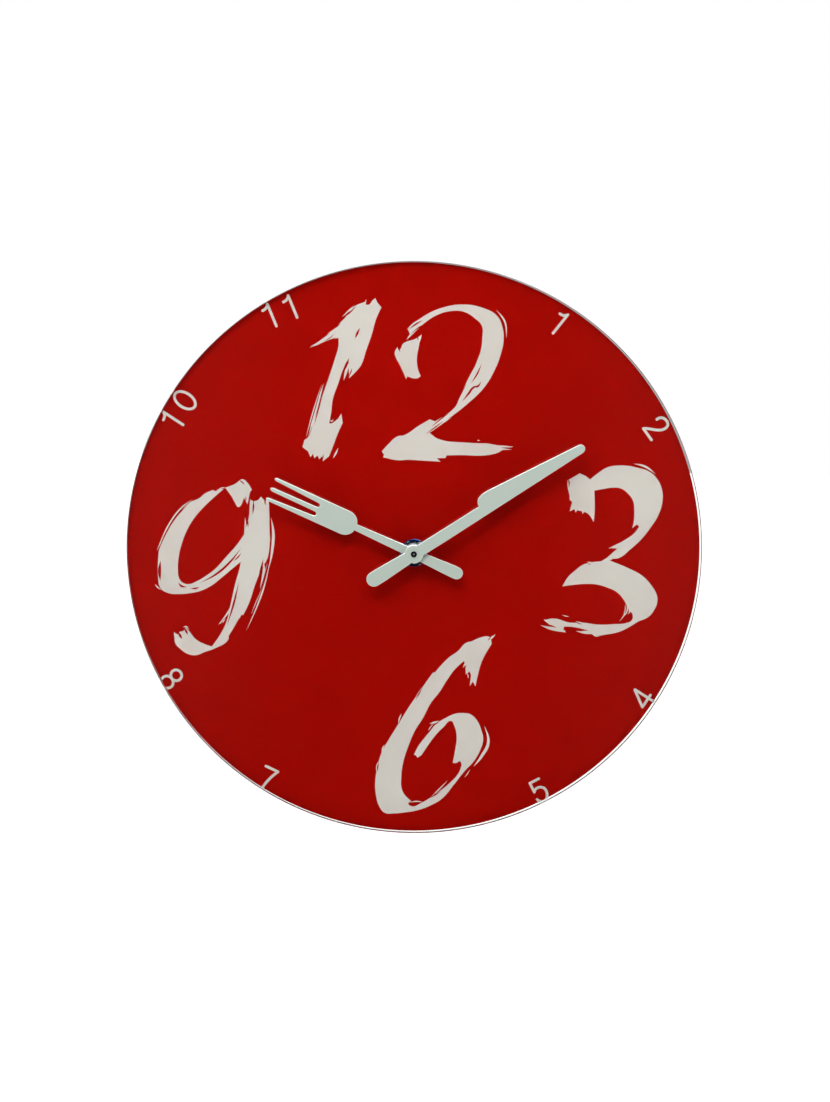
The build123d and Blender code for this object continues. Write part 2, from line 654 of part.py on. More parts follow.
# numeral, clock angle, radius, tilt in degrees anticlockwise, and which way its top points
THIN_NUMERALS = [
    ("11", 329.2, 142.2, -6.5, "out"),
    ("1", 30.2, 140.2, -6.2, "out"),
    ("2", 60.4, 141.6, 8.5, "out"),
    ("10", 299.2, 142.7, -2.0, "out"),
    ("4", 120.6, 143.4, 0.0, "in"),
    ("5", 150.2, 143.8, 0.0, "in"),
    ("7", 210.6, 144.2, 7.0, "in"),
    ("8", 240.1, 144.7, 9.0, "in"),
]


def thin_numerals():
    """The eight thin numerals on their ring, cut off where the print ends."""
    faces = []
    for text, clock_angle, radius, tilt, top in THIN_NUMERALS:
        x, y = polar(radius * ARTWORK_SCALE, 90 - clock_angle)
        turn = -clock_angle if top == "out" else 180 - clock_angle
        for place, character in enumerate(text):
            shift = (place - (len(text) - 1) / 2) * DIGIT_PITCH
            shape = Pos(x, y) * Rot(0, 0, turn + tilt) * Pos(shift * ARTWORK_SCALE, 0) * scale(
                digit(character), by=ARTWORK_SCALE
            )
            faces.append(shape & Circle(PLATE_RADIUS - PRINT_MARGIN))
    return faces


def print_layers():
    """The off-white numerals and the red behind and between them, as printed on the glass."""
    bold = {
        "numeral_12": brush_one() + brush_two(),
        "numeral_3": brush_three(),
        "numeral_6": brush_six(),
        "numeral_9": brush_nine(),
    }
    thin = thin_numerals()
    front = GLASS_BACK
    middle = GLASS_BACK - INK_THICKNESS
    edge = PLATE_RADIUS - PRINT_MARGIN
    layers = {}
    for name, face in bold.items():
        layers[name] = slab(face, middle, front)
    layers["small_numerals"] = Part() + [slab(face, middle, front) for face in thin]
    red = disc(edge, PRINT_BACK, front)
    for layer in list(layers.values()):
        red -= layer
    layers["red_print"] = red - disc(BUSH_RADIUS + GLASS_HOLE_GAP, PRINT_BACK - 1, front + 1)
    return layers


# ---------------------------------------------------------------- what clamps the glass


def rubber_washer():
    """Soft ring between the movement and the print."""
    return ring(RUBBER_RADIUS, BUSH_RADIUS + GLASS_HOLE_GAP, CASE_DEPTH, PRINT_BACK)


def dial_washer():
    """Bright ring under the nut."""
    outer = disc(DIAL_WASHER_RADIUS, GLASS_FRONT, NUT_BACK)
    rims = outer.edges().filter_by(GeomType.CIRCLE).sort_by(Axis.Z)
    outer = chamfer(rims[-1], 0.15)
    return outer - disc(BUSH_RADIUS + THREAD_GAP, GLASS_FRONT - 1, NUT_BACK + 1)


def fixing_nut():
    """Thin hexagon nut with its corners turned off at both faces."""
    corner = NUT_ACROSS_FLATS / sqrt(3)
    hexagon = slab(RegularPolygon(corner, 6), NUT_BACK, NUT_FRONT)
    turned = disc(corner, NUT_BACK, NUT_FRONT)
    turned = chamfer(turned.edges().filter_by(GeomType.CIRCLE), 0.45)
    nut = hexagon & turned
    return nut - disc(BUSH_RADIUS + THREAD_GAP, NUT_BACK - 1, NUT_FRONT + 1)


def threaded_bush():
    """Brass tube from inside the case, through the glass, to just past the nut."""
    bush = disc(BUSH_FLANGE_RADIUS, CEILING - BUSH_FLANGE, CEILING)
    stem = disc(BUSH_RADIUS, CEILING, BUSH_FRONT)
    rims = stem.edges().filter_by(GeomType.CIRCLE).sort_by(Axis.Z)
    stem = chamfer(rims[-1], 0.3)
    bore = HOUR_PIPE_RADIUS + RUNNING_GAP
    return bush + stem - disc(bore, CEILING - BUSH_FLANGE - 1, BUSH_FRONT + 1)


# ---------------------------------------------------------------- movement case


def front_case():
    """Front moulding: the face against the glass, the bay wall and the posts inside."""
    case = rounded_block(HALF, CASE_BOTTOM, CASE_TOP, CASE_CORNER, CASE_SPLIT, CASE_DEPTH)
    rims = case.faces().sort_by(Axis.Z)[-1].edges()
    case = fillet(rims, 0.8)
    inside = CASE_CORNER - CASE_WALL
    case -= rounded_block(INNER, BAY_BOTTOM, ROOM_TOP, inside, CASE_SPLIT - 1, CEILING)
    case -= disc(BUSH_RADIUS, CEILING - 1, CASE_DEPTH + 1)
    wall_left = -INNER + 2 * CONTACT_THICKNESS
    wall_right = CELL_RIGHT - 0.2
    case += block(wall_left, wall_right, BAY_TOP, ROOM_BOTTOM, REAR_FLOOR + 0.1, CEILING)
    for at in POSTS:
        case += disc(POST_RADIUS, PLATE_FRONT, CEILING, at)
        case += disc(POST_PEG_RADIUS, PLATE_BACK - 0.6, PLATE_FRONT, at)
    for at in BOARD_PEGS:
        case += disc(2 * BOARD_PEG_RADIUS, BOARD_FRONT, CEILING, at)
        case += disc(BOARD_PEG_RADIUS, BOARD_BACK - 0.4, BOARD_FRONT, at)
    for side in (-1, 1):
        for y in TONGUE_HEIGHTS:
            x0, x1 = sorted((side * (INNER - 1), side * (HALF + 1)))
            window = TONGUE_WIDTH / 2 + WINDOW_GAP
            low = TONGUE_FRONT - BARB_LENGTH - WINDOW_GAP
            case -= block(x0, x1, y - window, y + window, low, TONGUE_FRONT + WINDOW_GAP)
    return case


def bearing(top, at, radius=0.9):
    """A post on the rear floor with a blind hole for a pivot."""
    post = disc(radius, REAR_FLOOR - 0.5, top, at)
    hole = disc(PIVOT_RADIUS + PIVOT_GAP, top - PIVOT_LENGTH - 0.1, top + 1, at)
    return post, hole


SECONDS_POST = INTERMEDIATE_LEVEL + WHEEL_THICKNESS + 0.1
THIRD_POST = SECONDS_POST
INTERMEDIATE_POST = INTERMEDIATE_LEVEL - PINION_EXTRA - 0.2
ROTOR_POST = INTERMEDIATE_LEVEL - PINION_EXTRA - 0.4


def hanger_outline():
    """The loop that stands above the case and hangs on a nail."""
    centre = (0, CASE_TOP + HANGER_RISE)
    reach = HANGER_HOLE_RADIUS + HANGER_RIM
    shoulders = make_face(
        Polyline(
            (-reach - 4, CASE_TOP - 1),
            (reach + 4, CASE_TOP - 1),
            (reach + 4, CASE_TOP),
            (reach, centre[1]),
            (-reach, centre[1]),
            (-reach - 4, CASE_TOP),
            close=True,
        )
    )
    return shoulders + Pos(*centre) * Circle(reach) - Pos(*centre) * Circle(HANGER_HOLE_RADIUS)


def rear_case():
    """Rear moulding: floor with the open cell bay, knob well, bearings, tongues and hanger."""
    case = rounded_block(HALF, CASE_BOTTOM, CASE_TOP, CASE_CORNER, 0, CASE_SPLIT)
    rims = case.faces().sort_by(Axis.Z)[0].edges()
    case = fillet(rims, 0.6)
    inside = CASE_CORNER - CASE_WALL
    case -= rounded_block(INNER, BAY_BOTTOM, ROOM_TOP, inside, REAR_FLOOR, CASE_SPLIT + 1)
    case += slab(hanger_outline(), 0, HANGER_THICKNESS)
    bay_left = CELL_LEFT - 0.5
    bay_right = CELL_RIGHT + 0.4
    case -= block(bay_left, bay_right, BAY_BOTTOM, BAY_TOP, -1, REAR_FLOOR + 1)
    case += disc(WELL_RADIUS + WELL_FLOOR, 0, WELL_DEPTH + WELL_FLOOR, SETTING_AT)
    case -= disc(WELL_RADIUS, -1, WELL_DEPTH, SETTING_AT)
    case -= disc(STEM_RADIUS + RUNNING_GAP, 0, WELL_DEPTH + WELL_FLOOR + 1, SETTING_AT)
    for top, at in (
        (SECONDS_POST, CENTRE),
        (THIRD_POST, THIRD_AT),
        (INTERMEDIATE_POST, INTERMEDIATE_AT),
        (ROTOR_POST, ROTOR_AT),
    ):
        post, hole = bearing(top, at)
        case = case + post - hole
    for side in (-1, 1):
        for y in TONGUE_HEIGHTS:
            inner, outer = side * (INNER - TONGUE_THICKNESS), side * INNER
            x0, x1 = sorted((inner, outer))
            half = TONGUE_WIDTH / 2
            case += block(x0, x1, y - half, y + half, REAR_FLOOR, TONGUE_FRONT)
            tip = side * (INNER + BARB)
            barb = Polyline(
                (outer, TONGUE_FRONT),
                (tip, TONGUE_FRONT - BARB_LENGTH + 0.3),
                (tip, TONGUE_FRONT - BARB_LENGTH),
                (outer, TONGUE_FRONT - BARB_LENGTH),
                close=True,
            )
            edge = Plane(origin=(0, y - half, 0), x_dir=(1, 0, 0), z_dir=(0, -1, 0))
            case += extrude(edge * make_face(barb), amount=-TONGUE_WIDTH)
    return case


def middle_plate():
    """Plate between the train and the motion work, with the front bearings."""
    wide = PLATE_RIGHT - PLATE_LEFT
    high = PLATE_TOP - PLATE_BOTTOM
    centre = Pos((PLATE_LEFT + PLATE_RIGHT) / 2, (PLATE_BOTTOM + PLATE_TOP) / 2)
    plate = slab(centre * RectangleRounded(wide, high, 2.0), PLATE_BACK, PLATE_FRONT)
    bores = [
        (MINUTE_TAIL_RADIUS + RUNNING_GAP, CENTRE),
        (PIVOT_RADIUS + PIVOT_GAP, THIRD_AT),
        (PIVOT_RADIUS + PIVOT_GAP, INTERMEDIATE_AT),
        (PIVOT_RADIUS + PIVOT_GAP, ROTOR_AT),
        (STEM_RADIUS + RUNNING_GAP, SETTING_AT),
        (2.6, (-1.5, 12.0)),
        (2.4, (14.5, -4.5)),
    ]
    bores += [(POST_PEG_RADIUS, at) for at in POSTS]
    for radius, at in bores:
        plate -= disc(radius, PLATE_BACK - 1, PLATE_FRONT + 1, at)
    plate += disc(MOTION_POST_RADIUS, PLATE_FRONT - 0.4, MOTION_TOP + 0.3, MOTION_AT)
    for at in STATOR_PEGS:
        plate += disc(STATOR_PEG_RADIUS, STATOR_LEVEL - 0.3, PLATE_BACK, at)
    return plate


# ---------------------------------------------------------------- going train


def pivoted_arbor(back, front, at):
    """A shaft with a thin pivot at each end. back and front are its shoulders."""
    shaft = disc(SECONDS_RADIUS, back, front, at)
    shaft += disc(PIVOT_RADIUS, back - PIVOT_LENGTH, back, at)
    return shaft + disc(PIVOT_RADIUS, front, front + PIVOT_LENGTH, at)


def wheel_with_pinion(wheel, wheel_back, pinion, pinion_back, pinion_front, openings):
    """A wheel and a pinion moulded as one."""
    turned = Toothing(wheel.teeth, wheel.module, wheel.mate_teeth, CENTRE, wheel.phase)
    web = turned.solid(wheel_back, wheel_back + WHEEL_THICKNESS, openings)
    leaves = Toothing(pinion.teeth, pinion.module, pinion.mate_teeth, CENTRE, pinion.phase)
    both = web + leaves.solid(pinion_back, pinion_front)
    return Pos(wheel.at[0], wheel.at[1], 0) * both


def third_wheel():
    """Third wheel, 60 teeth, with its 8 leaf pinion, on its own arbor."""
    pinion_back = THIRD_LEVEL + WHEEL_THICKNESS
    wheel = wheel_with_pinion(
        THIRD_WHEEL,
        THIRD_LEVEL,
        THIRD_PINION,
        pinion_back,
        CENTRE_LEVEL + WHEEL_THICKNESS + PINION_EXTRA,
        web_openings(THIRD_WHEEL, THIRD_PINION.tip, 4),
    )
    return wheel + pivoted_arbor(THIRD_POST + 0.05, PLATE_BACK - 0.05, THIRD_AT)


def intermediate_wheel():
    """Intermediate wheel, 48 teeth, with its 10 leaf pinion, on its own arbor."""
    pinion_back = INTERMEDIATE_LEVEL + WHEEL_THICKNESS
    wheel = wheel_with_pinion(
        INTERMEDIATE_WHEEL,
        INTERMEDIATE_LEVEL,
        INTERMEDIATE_PINION,
        pinion_back,
        STATOR_LEVEL - 0.1,
        web_openings(INTERMEDIATE_WHEEL, INTERMEDIATE_PINION.tip, 3),
    )
    return wheel + pivoted_arbor(INTERMEDIATE_POST + 0.05, PLATE_BACK - 0.05, INTERMEDIATE_AT)


def seconds_wheel():
    """Seconds wheel, 50 teeth, with the 8 leaf pinion that drives the third wheel."""
    wheel = wheel_with_pinion(
        SECONDS_WHEEL,
        SECONDS_LEVEL,
        SECONDS_PINION,
        SECONDS_LEVEL + WHEEL_THICKNESS,
        THIRD_LEVEL + WHEEL_THICKNESS + PINION_EXTRA,
        web_openings(SECONDS_WHEEL, SECONDS_PINION.tip, 4),
    )
    return wheel - disc(SECONDS_RADIUS, SECONDS_LEVEL - 1, PLATE_BACK)


def seconds_arbor():
    """Steel shaft from the rear bearing, through the minute tube, to the middle of the hands."""
    back = SECONDS_POST + 0.05
    shaft = disc(SECONDS_RADIUS, back, SECONDS_FRONT)
    tip = shaft.edges().filter_by(GeomType.CIRCLE).sort_by(Axis.Z)[-1]
    shaft = fillet(tip, 0.2)
    return shaft + disc(PIVOT_RADIUS, back - PIVOT_LENGTH, back)


def centre_wheel():
    """Centre wheel, 64 teeth, loose on the minute arbor and gripped by the clutch spring."""
    bore = MINUTE_TAIL_RADIUS + RUNNING_GAP
    swept = CLUTCH_REACH + CLUTCH_PAD_RADIUS
    openings = [(bore, CENTRE)] + web_openings(CENTRE_WHEEL, swept, 6)
    return CENTRE_WHEEL.solid(CENTRE_LEVEL, CENTRE_LEVEL + WHEEL_THICKNESS, openings)


def clutch_spring():
    """Three legged spring washer, fast on the minute arbor behind the centre wheel."""
    high = CENTRE_LEVEL - 0.1
    low = high - CLUTCH_THICKNESS
    spring = disc(CLUTCH_HUB_RADIUS, low, high)
    for leg in range(3):
        bar = block(0, CLUTCH_REACH, -0.6, 0.6, low, high)
        bar += disc(CLUTCH_PAD_RADIUS, low, high, (CLUTCH_REACH, 0))
        spring += Rot(0, 0, 120 * leg) * bar
    return spring - disc(MINUTE_TAIL_RADIUS, low - 1, high + 1)


# ---------------------------------------------------------------- motion work


def minute_arbor():
    """Tube that carries the minute hand, with the cannon pinion's 10 leaves near its foot."""
    tube = disc(MINUTE_TAIL_RADIUS, TAIL_BACK, CANNON_BACK)
    tube += CANNON_PINION.solid(CANNON_BACK, CANNON_FRONT)
    tube += disc(MINUTE_TUBE_RADIUS, CANNON_FRONT, MINUTE_TUBE_FRONT)
    tube -= disc(SECONDS_RADIUS + RUNNING_GAP, TAIL_BACK - 1, MINUTE_TUBE_FRONT + 1)
    mouth = MINUTE_TUBE_FRONT - TUBE_MOUTH_DEPTH
    return tube - disc(TUBE_MOUTH_RADIUS, mouth, MINUTE_TUBE_FRONT + 1)


def motion_wheel():
    """Motion wheel, 30 teeth, with its 8 leaf pinion, on a post of the middle plate."""
    hub = MOTION_PINION.root
    back = PLATE_FRONT + 0.15
    wheel = wheel_with_pinion(
        MOTION_WHEEL,
        MOTION_LEVEL,
        MOTION_PINION,
        MOTION_LEVEL + WHEEL_THICKNESS,
        MOTION_TOP,
        web_openings(MOTION_WHEEL, MOTION_PINION.tip, 3),
    )
    wheel += disc(hub, back, MOTION_LEVEL, MOTION_AT)
    return wheel - disc(MOTION_POST_RADIUS + RUNNING_GAP, back - 1, MOTION_TOP + 1, MOTION_AT)


def hour_wheel():
    """Hour wheel, 32 teeth, on the pipe that carries the hour hand."""
    bore = MINUTE_TUBE_RADIUS + RUNNING_GAP
    openings = web_openings(HOUR_WHEEL, HOUR_PIPE_RADIUS, 4, 45)
    web = HOUR_WHEEL.solid(HOUR_LEVEL, HOUR_LEVEL + WHEEL_THICKNESS, openings)
    pipe = disc(HOUR_PIPE_RADIUS, HOUR_HUB_BACK, HOUR_STACK_FRONT)
    return web + pipe - disc(bore, HOUR_HUB_BACK - 1, HOUR_STACK_FRONT + 1)


def setting_pinion():
    """Stem through the case with 10 leaves in mesh with the motion wheel."""
    low = MOTION_LEVEL - PINION_EXTRA
    stem = disc(STEM_RADIUS, KNOB_SETBACK + 0.5, low + 1.6, SETTING_AT)
    return stem + SETTING_PINION.solid(low, low + 1.3)


def setting_knob():
    """Flat knob sunk in the back, with a scalloped rim and a grip bar, pressed on the stem."""
    back = KNOB_SETBACK
    front = back + KNOB_THICKNESS
    knob = disc(KNOB_RADIUS, back, front)
    for number in range(KNOB_SCALLOPS):
        place = polar(KNOB_RADIUS + 0.15, 360 * number / KNOB_SCALLOPS)
        knob -= disc(KNOB_SCALLOP_RADIUS, back - 1, front + 1, place)
    grip = block(-KNOB_RADIUS, KNOB_RADIUS, -0.8, 0.8, -1, front)
    dish = disc(KNOB_RADIUS - 1.2, back - 1, back + KNOB_THICKNESS / 2) - grip
    knob = Pos(SETTING_AT[0], SETTING_AT[1], 0) * (knob - dish)
    return knob - disc(STEM_RADIUS, KNOB_SETBACK + 0.5, front + 1, SETTING_AT)


# ---------------------------------------------------------------- stepping motor


def rotor_pinion():
    """Rotor shaft with its 8 leaf pinion and the seat that the magnet is pressed on."""
    back = ROTOR_POST + 0.05
    low = INTERMEDIATE_LEVEL - PINION_EXTRA
    shaft = pivoted_arbor(back, PLATE_BACK - 0.05, ROTOR_AT)
    shaft += ROTOR_PINION.solid(low, low + 1.3)
    return shaft + disc(0.8, low + 1.3, MAGNET_LEVEL, ROTOR_AT)


def rotor_magnet():
    """Two pole ring magnet on the rotor shaft."""
    return ring(MAGNET_RADIUS, SECONDS_RADIUS, MAGNET_LEVEL, MAGNET_LEVEL + MAGNET_LENGTH, ROTOR_AT)


def stator():
    """Soft iron plate round the rotor, with a leg up to each end of the coil."""
    half = LEG_WIDTH / 2
    low = ROTOR_AT[1] - BAND_HALF
    high = ROTOR_AT[1] + BAND_HALF
    top = COIL_Y + CORE_WIDTH / 2
    left = LEFT_LEG_X - half
    right = RIGHT_LEG_X + half
    plate = block(left, right, low, high, STATOR_LEVEL, STATOR_FRONT)
    for x in (LEFT_LEG_X, RIGHT_LEG_X):
        plate += block(x - half, x + half, low, top, STATOR_LEVEL, STATOR_FRONT)
    uprights = plate.edges().filter_by(Axis.Z)
    plate = fillet(uprights, 0.8)
    plate -= disc(STATOR_HOLE, STATOR_LEVEL - 1, STATOR_FRONT + 1, ROTOR_AT)
    for side in (0, 180):
        notch = polar(STATOR_HOLE, 50 + side, ROTOR_AT)
        plate -= disc(0.5, STATOR_LEVEL - 1, STATOR_FRONT + 1, notch)
    for at in STATOR_PEGS:
        plate -= disc(STATOR_PEG_RADIUS, STATOR_LEVEL - 1, STATOR_FRONT + 1, at)
    return plate


BOBBIN_LEFT = LEFT_LEG_X + LEG_WIDTH / 2 + 0.1
BOBBIN_RIGHT = RIGHT_LEG_X - LEG_WIDTH / 2 - 0.1


def along_coil(radius, x0, x1):
    """A round body on the coil's axis, between two x positions."""
    turn = Pos(x0, COIL_Y, COIL_Z) * Rot(0, 90, 0)
    return turn * Cylinder(radius, x1 - x0, align=(Align.CENTER, Align.CENTER, Align.MIN))


def coil_core():
    """Soft iron bar that lies on the stator's legs and passes through the coil."""
    half = CORE_WIDTH / 2
    left = LEFT_LEG_X - LEG_WIDTH / 2
    right = RIGHT_LEG_X + LEG_WIDTH / 2
    bar = block(left, right, COIL_Y - half, COIL_Y + half, STATOR_FRONT, CORE_FRONT)
    return fillet(bar.edges().filter_by(Axis.Z), 0.6)


def coil_bobbin():
    """Moulded reel with a square hole for the core and two terminal pegs."""
    reel = along_coil(BOBBIN_RADIUS, BOBBIN_LEFT, BOBBIN_RIGHT)
    reel += along_coil(BOBBIN_FLANGE_RADIUS, BOBBIN_LEFT, BOBBIN_LEFT + BOBBIN_FLANGE)
    reel += along_coil(BOBBIN_FLANGE_RADIUS, BOBBIN_RIGHT - BOBBIN_FLANGE, BOBBIN_RIGHT)
    half = CORE_WIDTH / 2
    reel -= block(
        BOBBIN_LEFT - 1, BOBBIN_RIGHT + 1, COIL_Y - half, COIL_Y + half, STATOR_FRONT, CORE_FRONT
    )
    return reel


def coil_winding():
    """The wound copper, as one body of its outer shape."""
    left = BOBBIN_LEFT + BOBBIN_FLANGE
    right = BOBBIN_RIGHT - BOBBIN_FLANGE
    return along_coil(COIL_RADIUS, left, right) - along_coil(BOBBIN_RADIUS, left, right)


LEAD_START = COIL_Z + BOBBIN_FLANGE_RADIUS - 0.6


def coil_leads():
    """The coil's two wire ends, from the reel's right flange to solder pads on the board."""
    leads = Part()
    for number in (0, 1):
        y = COIL_Y + LEAD_PITCH * (number - 0.5)
        start = (BOBBIN_RIGHT, y, LEAD_START)
        rise = (BOBBIN_RIGHT + 3.0, y, BOARD_FRONT + WIRE_RADIUS)
        pad_x = BOARD_LEFT + 5.0 + LEAD_PITCH * number
        pad = (pad_x, BOARD_TOP - 1.2, BOARD_FRONT + WIRE_RADIUS)
        path = FilletPolyline(start, rise, pad, radius=1.0)
        section = Plane(origin=path @ 0, z_dir=path % 0) * Circle(WIRE_RADIUS)
        leads += sweep(section, path=path)
    return leads


# ---------------------------------------------------------------- electronics


def circuit_board():
    """Small board on two pegs of the front case."""
    board = block(BOARD_LEFT, BOARD_RIGHT, BOARD_BOTTOM, BOARD_TOP, BOARD_BACK, BOARD_FRONT)
    for at in BOARD_PEGS:
        board -= disc(BOARD_PEG_RADIUS, BOARD_BACK - 1, BOARD_FRONT + 1, at)
    return board


def clock_chip():
    """Drop of black resin over the chip."""
    centre_z = BOARD_FRONT + CHIP_HEIGHT - CHIP_DOME_RADIUS
    sphere = Pos(CHIP_AT[0], CHIP_AT[1], centre_z) * Sphere(CHIP_DOME_RADIUS)
    return sphere & disc(CHIP_DOME_RADIUS, BOARD_FRONT, BOARD_FRONT + 2 * CHIP_HEIGHT, CHIP_AT)


def quartz_crystal():
    """Small tin can lying on the board, with its two leads."""
    x, y = CRYSTAL_AT
    z = BOARD_FRONT + CRYSTAL_RADIUS
    can = rod((x, y - CRYSTAL_LENGTH / 2, z), (x, y + CRYSTAL_LENGTH / 2, z), CRYSTAL_RADIUS)
    can = fillet(can.edges().filter_by(GeomType.CIRCLE), 0.25)
    thin = CRYSTAL_LEAD_RADIUS
    for side in (-0.4 * CRYSTAL_RADIUS, 0.4 * CRYSTAL_RADIUS):
        end = y - CRYSTAL_LENGTH / 2
        turn = (x + side, end - 1.4)
        can += rod((x + side, end + 0.2, z), (*turn, z), thin)
        can += rod((*turn, z + thin), (*turn, BOARD_FRONT), thin)
    return can


# the contact plates stand clear of the round inner corners of the case
CONTACT_HALF = CELL_RADIUS + CELL_SIDE_GAP - (CASE_CORNER - CASE_WALL) - CONTACT_OFF_CORNER
LEAF_HALF = CONTACT_HALF - LEAF_INSET
CONTACT_LOW = REAR_FLOOR + 1.0
CONTACT_HIGH = CEILING - 0.5
STRIP_LOW = PLATE_FRONT + 0.8
STRIP_Y = ROOM_BOTTOM + STRIP_GAP


def contact_strip(x0, x1, finger_x):
    """The tail of a battery contact: along the bay wall to a finger that lies on the board."""
    far = STRIP_Y + CONTACT_THICKNESS
    tail = block(x0, x1, STRIP_Y, far, STRIP_LOW, CONTACT_HIGH)
    finger_top = BOARD_FRONT + CONTACT_THICKNESS
    reach = BOARD_BOTTOM + 1.8
    finger_end = finger_x + FINGER_WIDTH
    return tail + block(finger_x, finger_end, STRIP_Y, reach, BOARD_FRONT, finger_top)


def contact_plate(back, face):
    """The upright of a battery contact between two x positions, with its neck above the bay wall."""
    neck = BAY_TOP - 0.5
    plate = block(back, face, CELL_Y - CONTACT_HALF, neck, CONTACT_LOW, CONTACT_HIGH)
    return plate + block(back, face, neck, STRIP_Y + CONTACT_THICKNESS, STRIP_LOW, CONTACT_HIGH)


def contact_negative():
    """Plate with a bowed leaf that pushes on the flat end of the cell."""
    back = -INNER + 0.1
    face = back + CONTACT_THICKNESS
    touch = CELL_LEFT - CONTACT_GAP
    leaf = make_face(
        Polyline(
            (face, CELL_Y - LEAF_HALF),
            (touch, CELL_Y - 0.8),
            (touch, CELL_Y + 0.8),
            (face, CELL_Y + LEAF_HALF),
            (face, CELL_Y + LEAF_HALF - CONTACT_THICKNESS),
            (touch - 0.3, CELL_Y + 0.6),
            (touch - 0.3, CELL_Y - 0.6),
            (face, CELL_Y - LEAF_HALF + CONTACT_THICKNESS),
            close=True,
        )
    )
    plate = contact_plate(back, face)
    plate += slab(leaf, CELL_Z - LEAF_WIDTH / 2, CELL_Z + LEAF_WIDTH / 2)
    finger_x = BOARD_LEFT + 0.2
    return plate + contact_strip(back, finger_x + FINGER_WIDTH, finger_x)


def contact_positive():
    """Plate that the cell's nub rests on."""
    face = CELL_RIGHT + CONTACT_GAP
    back = face + CONTACT_THICKNESS
    finger_x = BOARD_RIGHT - 6.5
    return contact_plate(face, back) + contact_strip(finger_x, back, finger_x)


# ---------------------------------------------------------------- the cell


def along_cell(radius, x0, x1):
    """A round body on the cell's axis, between two x positions."""
    turn = Pos(x0, CELL_Y, CELL_Z) * Rot(0, 90, 0)
    return turn * Cylinder(radius, x1 - x0, align=(Align.CENTER, Align.CENTER, Align.MIN))


CAN_RIGHT = CELL_RIGHT - CELL_NUB_LENGTH
CAN_RADIUS = CELL_RADIUS - SLEEVE_THICKNESS
INSULATOR_RADIUS = (CELL_NUB_RADIUS + CAN_RADIUS) / 2
END_PLATE_RADIUS = 2 * CAN_RADIUS / 3


def battery_can():
    """Steel can of the cell with the nub at its positive end."""
    can = along_cell(CAN_RADIUS, CELL_LEFT + 0.2, CAN_RIGHT - 0.3)
    can = fillet(can.edges().filter_by(GeomType.CIRCLE), 0.5)
    nub = along_cell(CELL_NUB_RADIUS, CAN_RIGHT - 0.3, CELL_RIGHT)
    return can + fillet(nub.edges().filter_by(GeomType.CIRCLE).sort_by(Axis.X)[-1], 0.3)


def battery_insulator():
    """Thin ring round the nub."""
    outer = along_cell(INSULATOR_RADIUS, CAN_RIGHT - 0.3, CAN_RIGHT)
    return outer - along_cell(CELL_NUB_RADIUS, CAN_RIGHT - 1, CAN_RIGHT + 1)


def battery_end():
    """Flat negative end plate."""
    return along_cell(END_PLATE_RADIUS, CELL_LEFT, CELL_LEFT + 0.2)


def battery_sleeve():
    """Printed film round the can, with a lip turned over each end."""
    sleeve = along_cell(CELL_RADIUS, CELL_LEFT + 0.1, CAN_RIGHT - 0.1)
    return sleeve - along_cell(CAN_RADIUS, CELL_LEFT, CAN_RIGHT)


# ---------------------------------------------------------------- hands


def along_hand(face, clock_angle, low):
    """Turns a hand drawn along +x to its place on the dial and gives it its thickness."""
    return Rot(0, 0, 90 - clock_angle) * slab(face, low, low + HAND_THICKNESS)


FORK_REACH = 81.4
FORK_HALF = 6.4
FORK_SHOULDER = 39.2
FORK_NECK_HALF = 1.6
FORK_HUB_HALF = 2.35
FORK_TAIL_HALF = 3.15
FORK_TAIL = 27.6
SLOT_END = 54.5
SLOT_HALF = 1.05
SLOT_MOUTH_HALF = 1.9
SLOT_OFFSET = 2.4
SLOT_MOUTH_OFFSET = 2.85

KNIFE_REACH = 103.5
KNIFE_HANDLE_HALF = 3.0
KNIFE_TAIL_HALF = 3.8
KNIFE_TAIL = 28.3
KNIFE_HUB_RADIUS = 4.8
HOUR_HUB_RADIUS = 4.8


def tapered_bar(x0, half0, x1, half1):
    """A straight sided bar along x that widens from one half width to another."""
    return make_face(Polyline((x0, -half0), (x1, -half1), (x1, half1), (x0, half0), close=True))


def fork_outline():
    """Fork seen from the front: round tail, slim handle, round shouldered head, three tines."""
    tail_centre = -FORK_TAIL + FORK_TAIL_HALF
    handle = tapered_bar(tail_centre, FORK_TAIL_HALF, 0, FORK_HUB_HALF)
    handle += tapered_bar(0, FORK_HUB_HALF, FORK_SHOULDER, FORK_NECK_HALF)
    handle += Pos(tail_centre, 0) * Circle(FORK_TAIL_HALF)
    handle += Circle(HOUR_HUB_RADIUS)
    head = tapered_bar(FORK_SHOULDER, FORK_HALF, FORK_REACH, FORK_HALF)
    head += Pos(FORK_SHOULDER, 0) * Circle(FORK_HALF)
    for side in (-1, 1):
        mouth = side * SLOT_MOUTH_OFFSET
        base = side * SLOT_OFFSET
        slot = make_face(
            Polyline(
                (SLOT_END + SLOT_HALF, base - SLOT_HALF),
                (FORK_REACH + 1, mouth - SLOT_MOUTH_HALF),
                (FORK_REACH + 1, mouth + SLOT_MOUTH_HALF),
                (SLOT_END + SLOT_HALF, base + SLOT_HALF),
                close=True,
            )
        )
        head -= slot + Pos(SLOT_END + SLOT_HALF, base) * Circle(SLOT_HALF)
    tips = [v for v in head.vertices() if v.X > FORK_REACH - 0.01]
    head = fillet(tips, 0.75)
    return handle + head


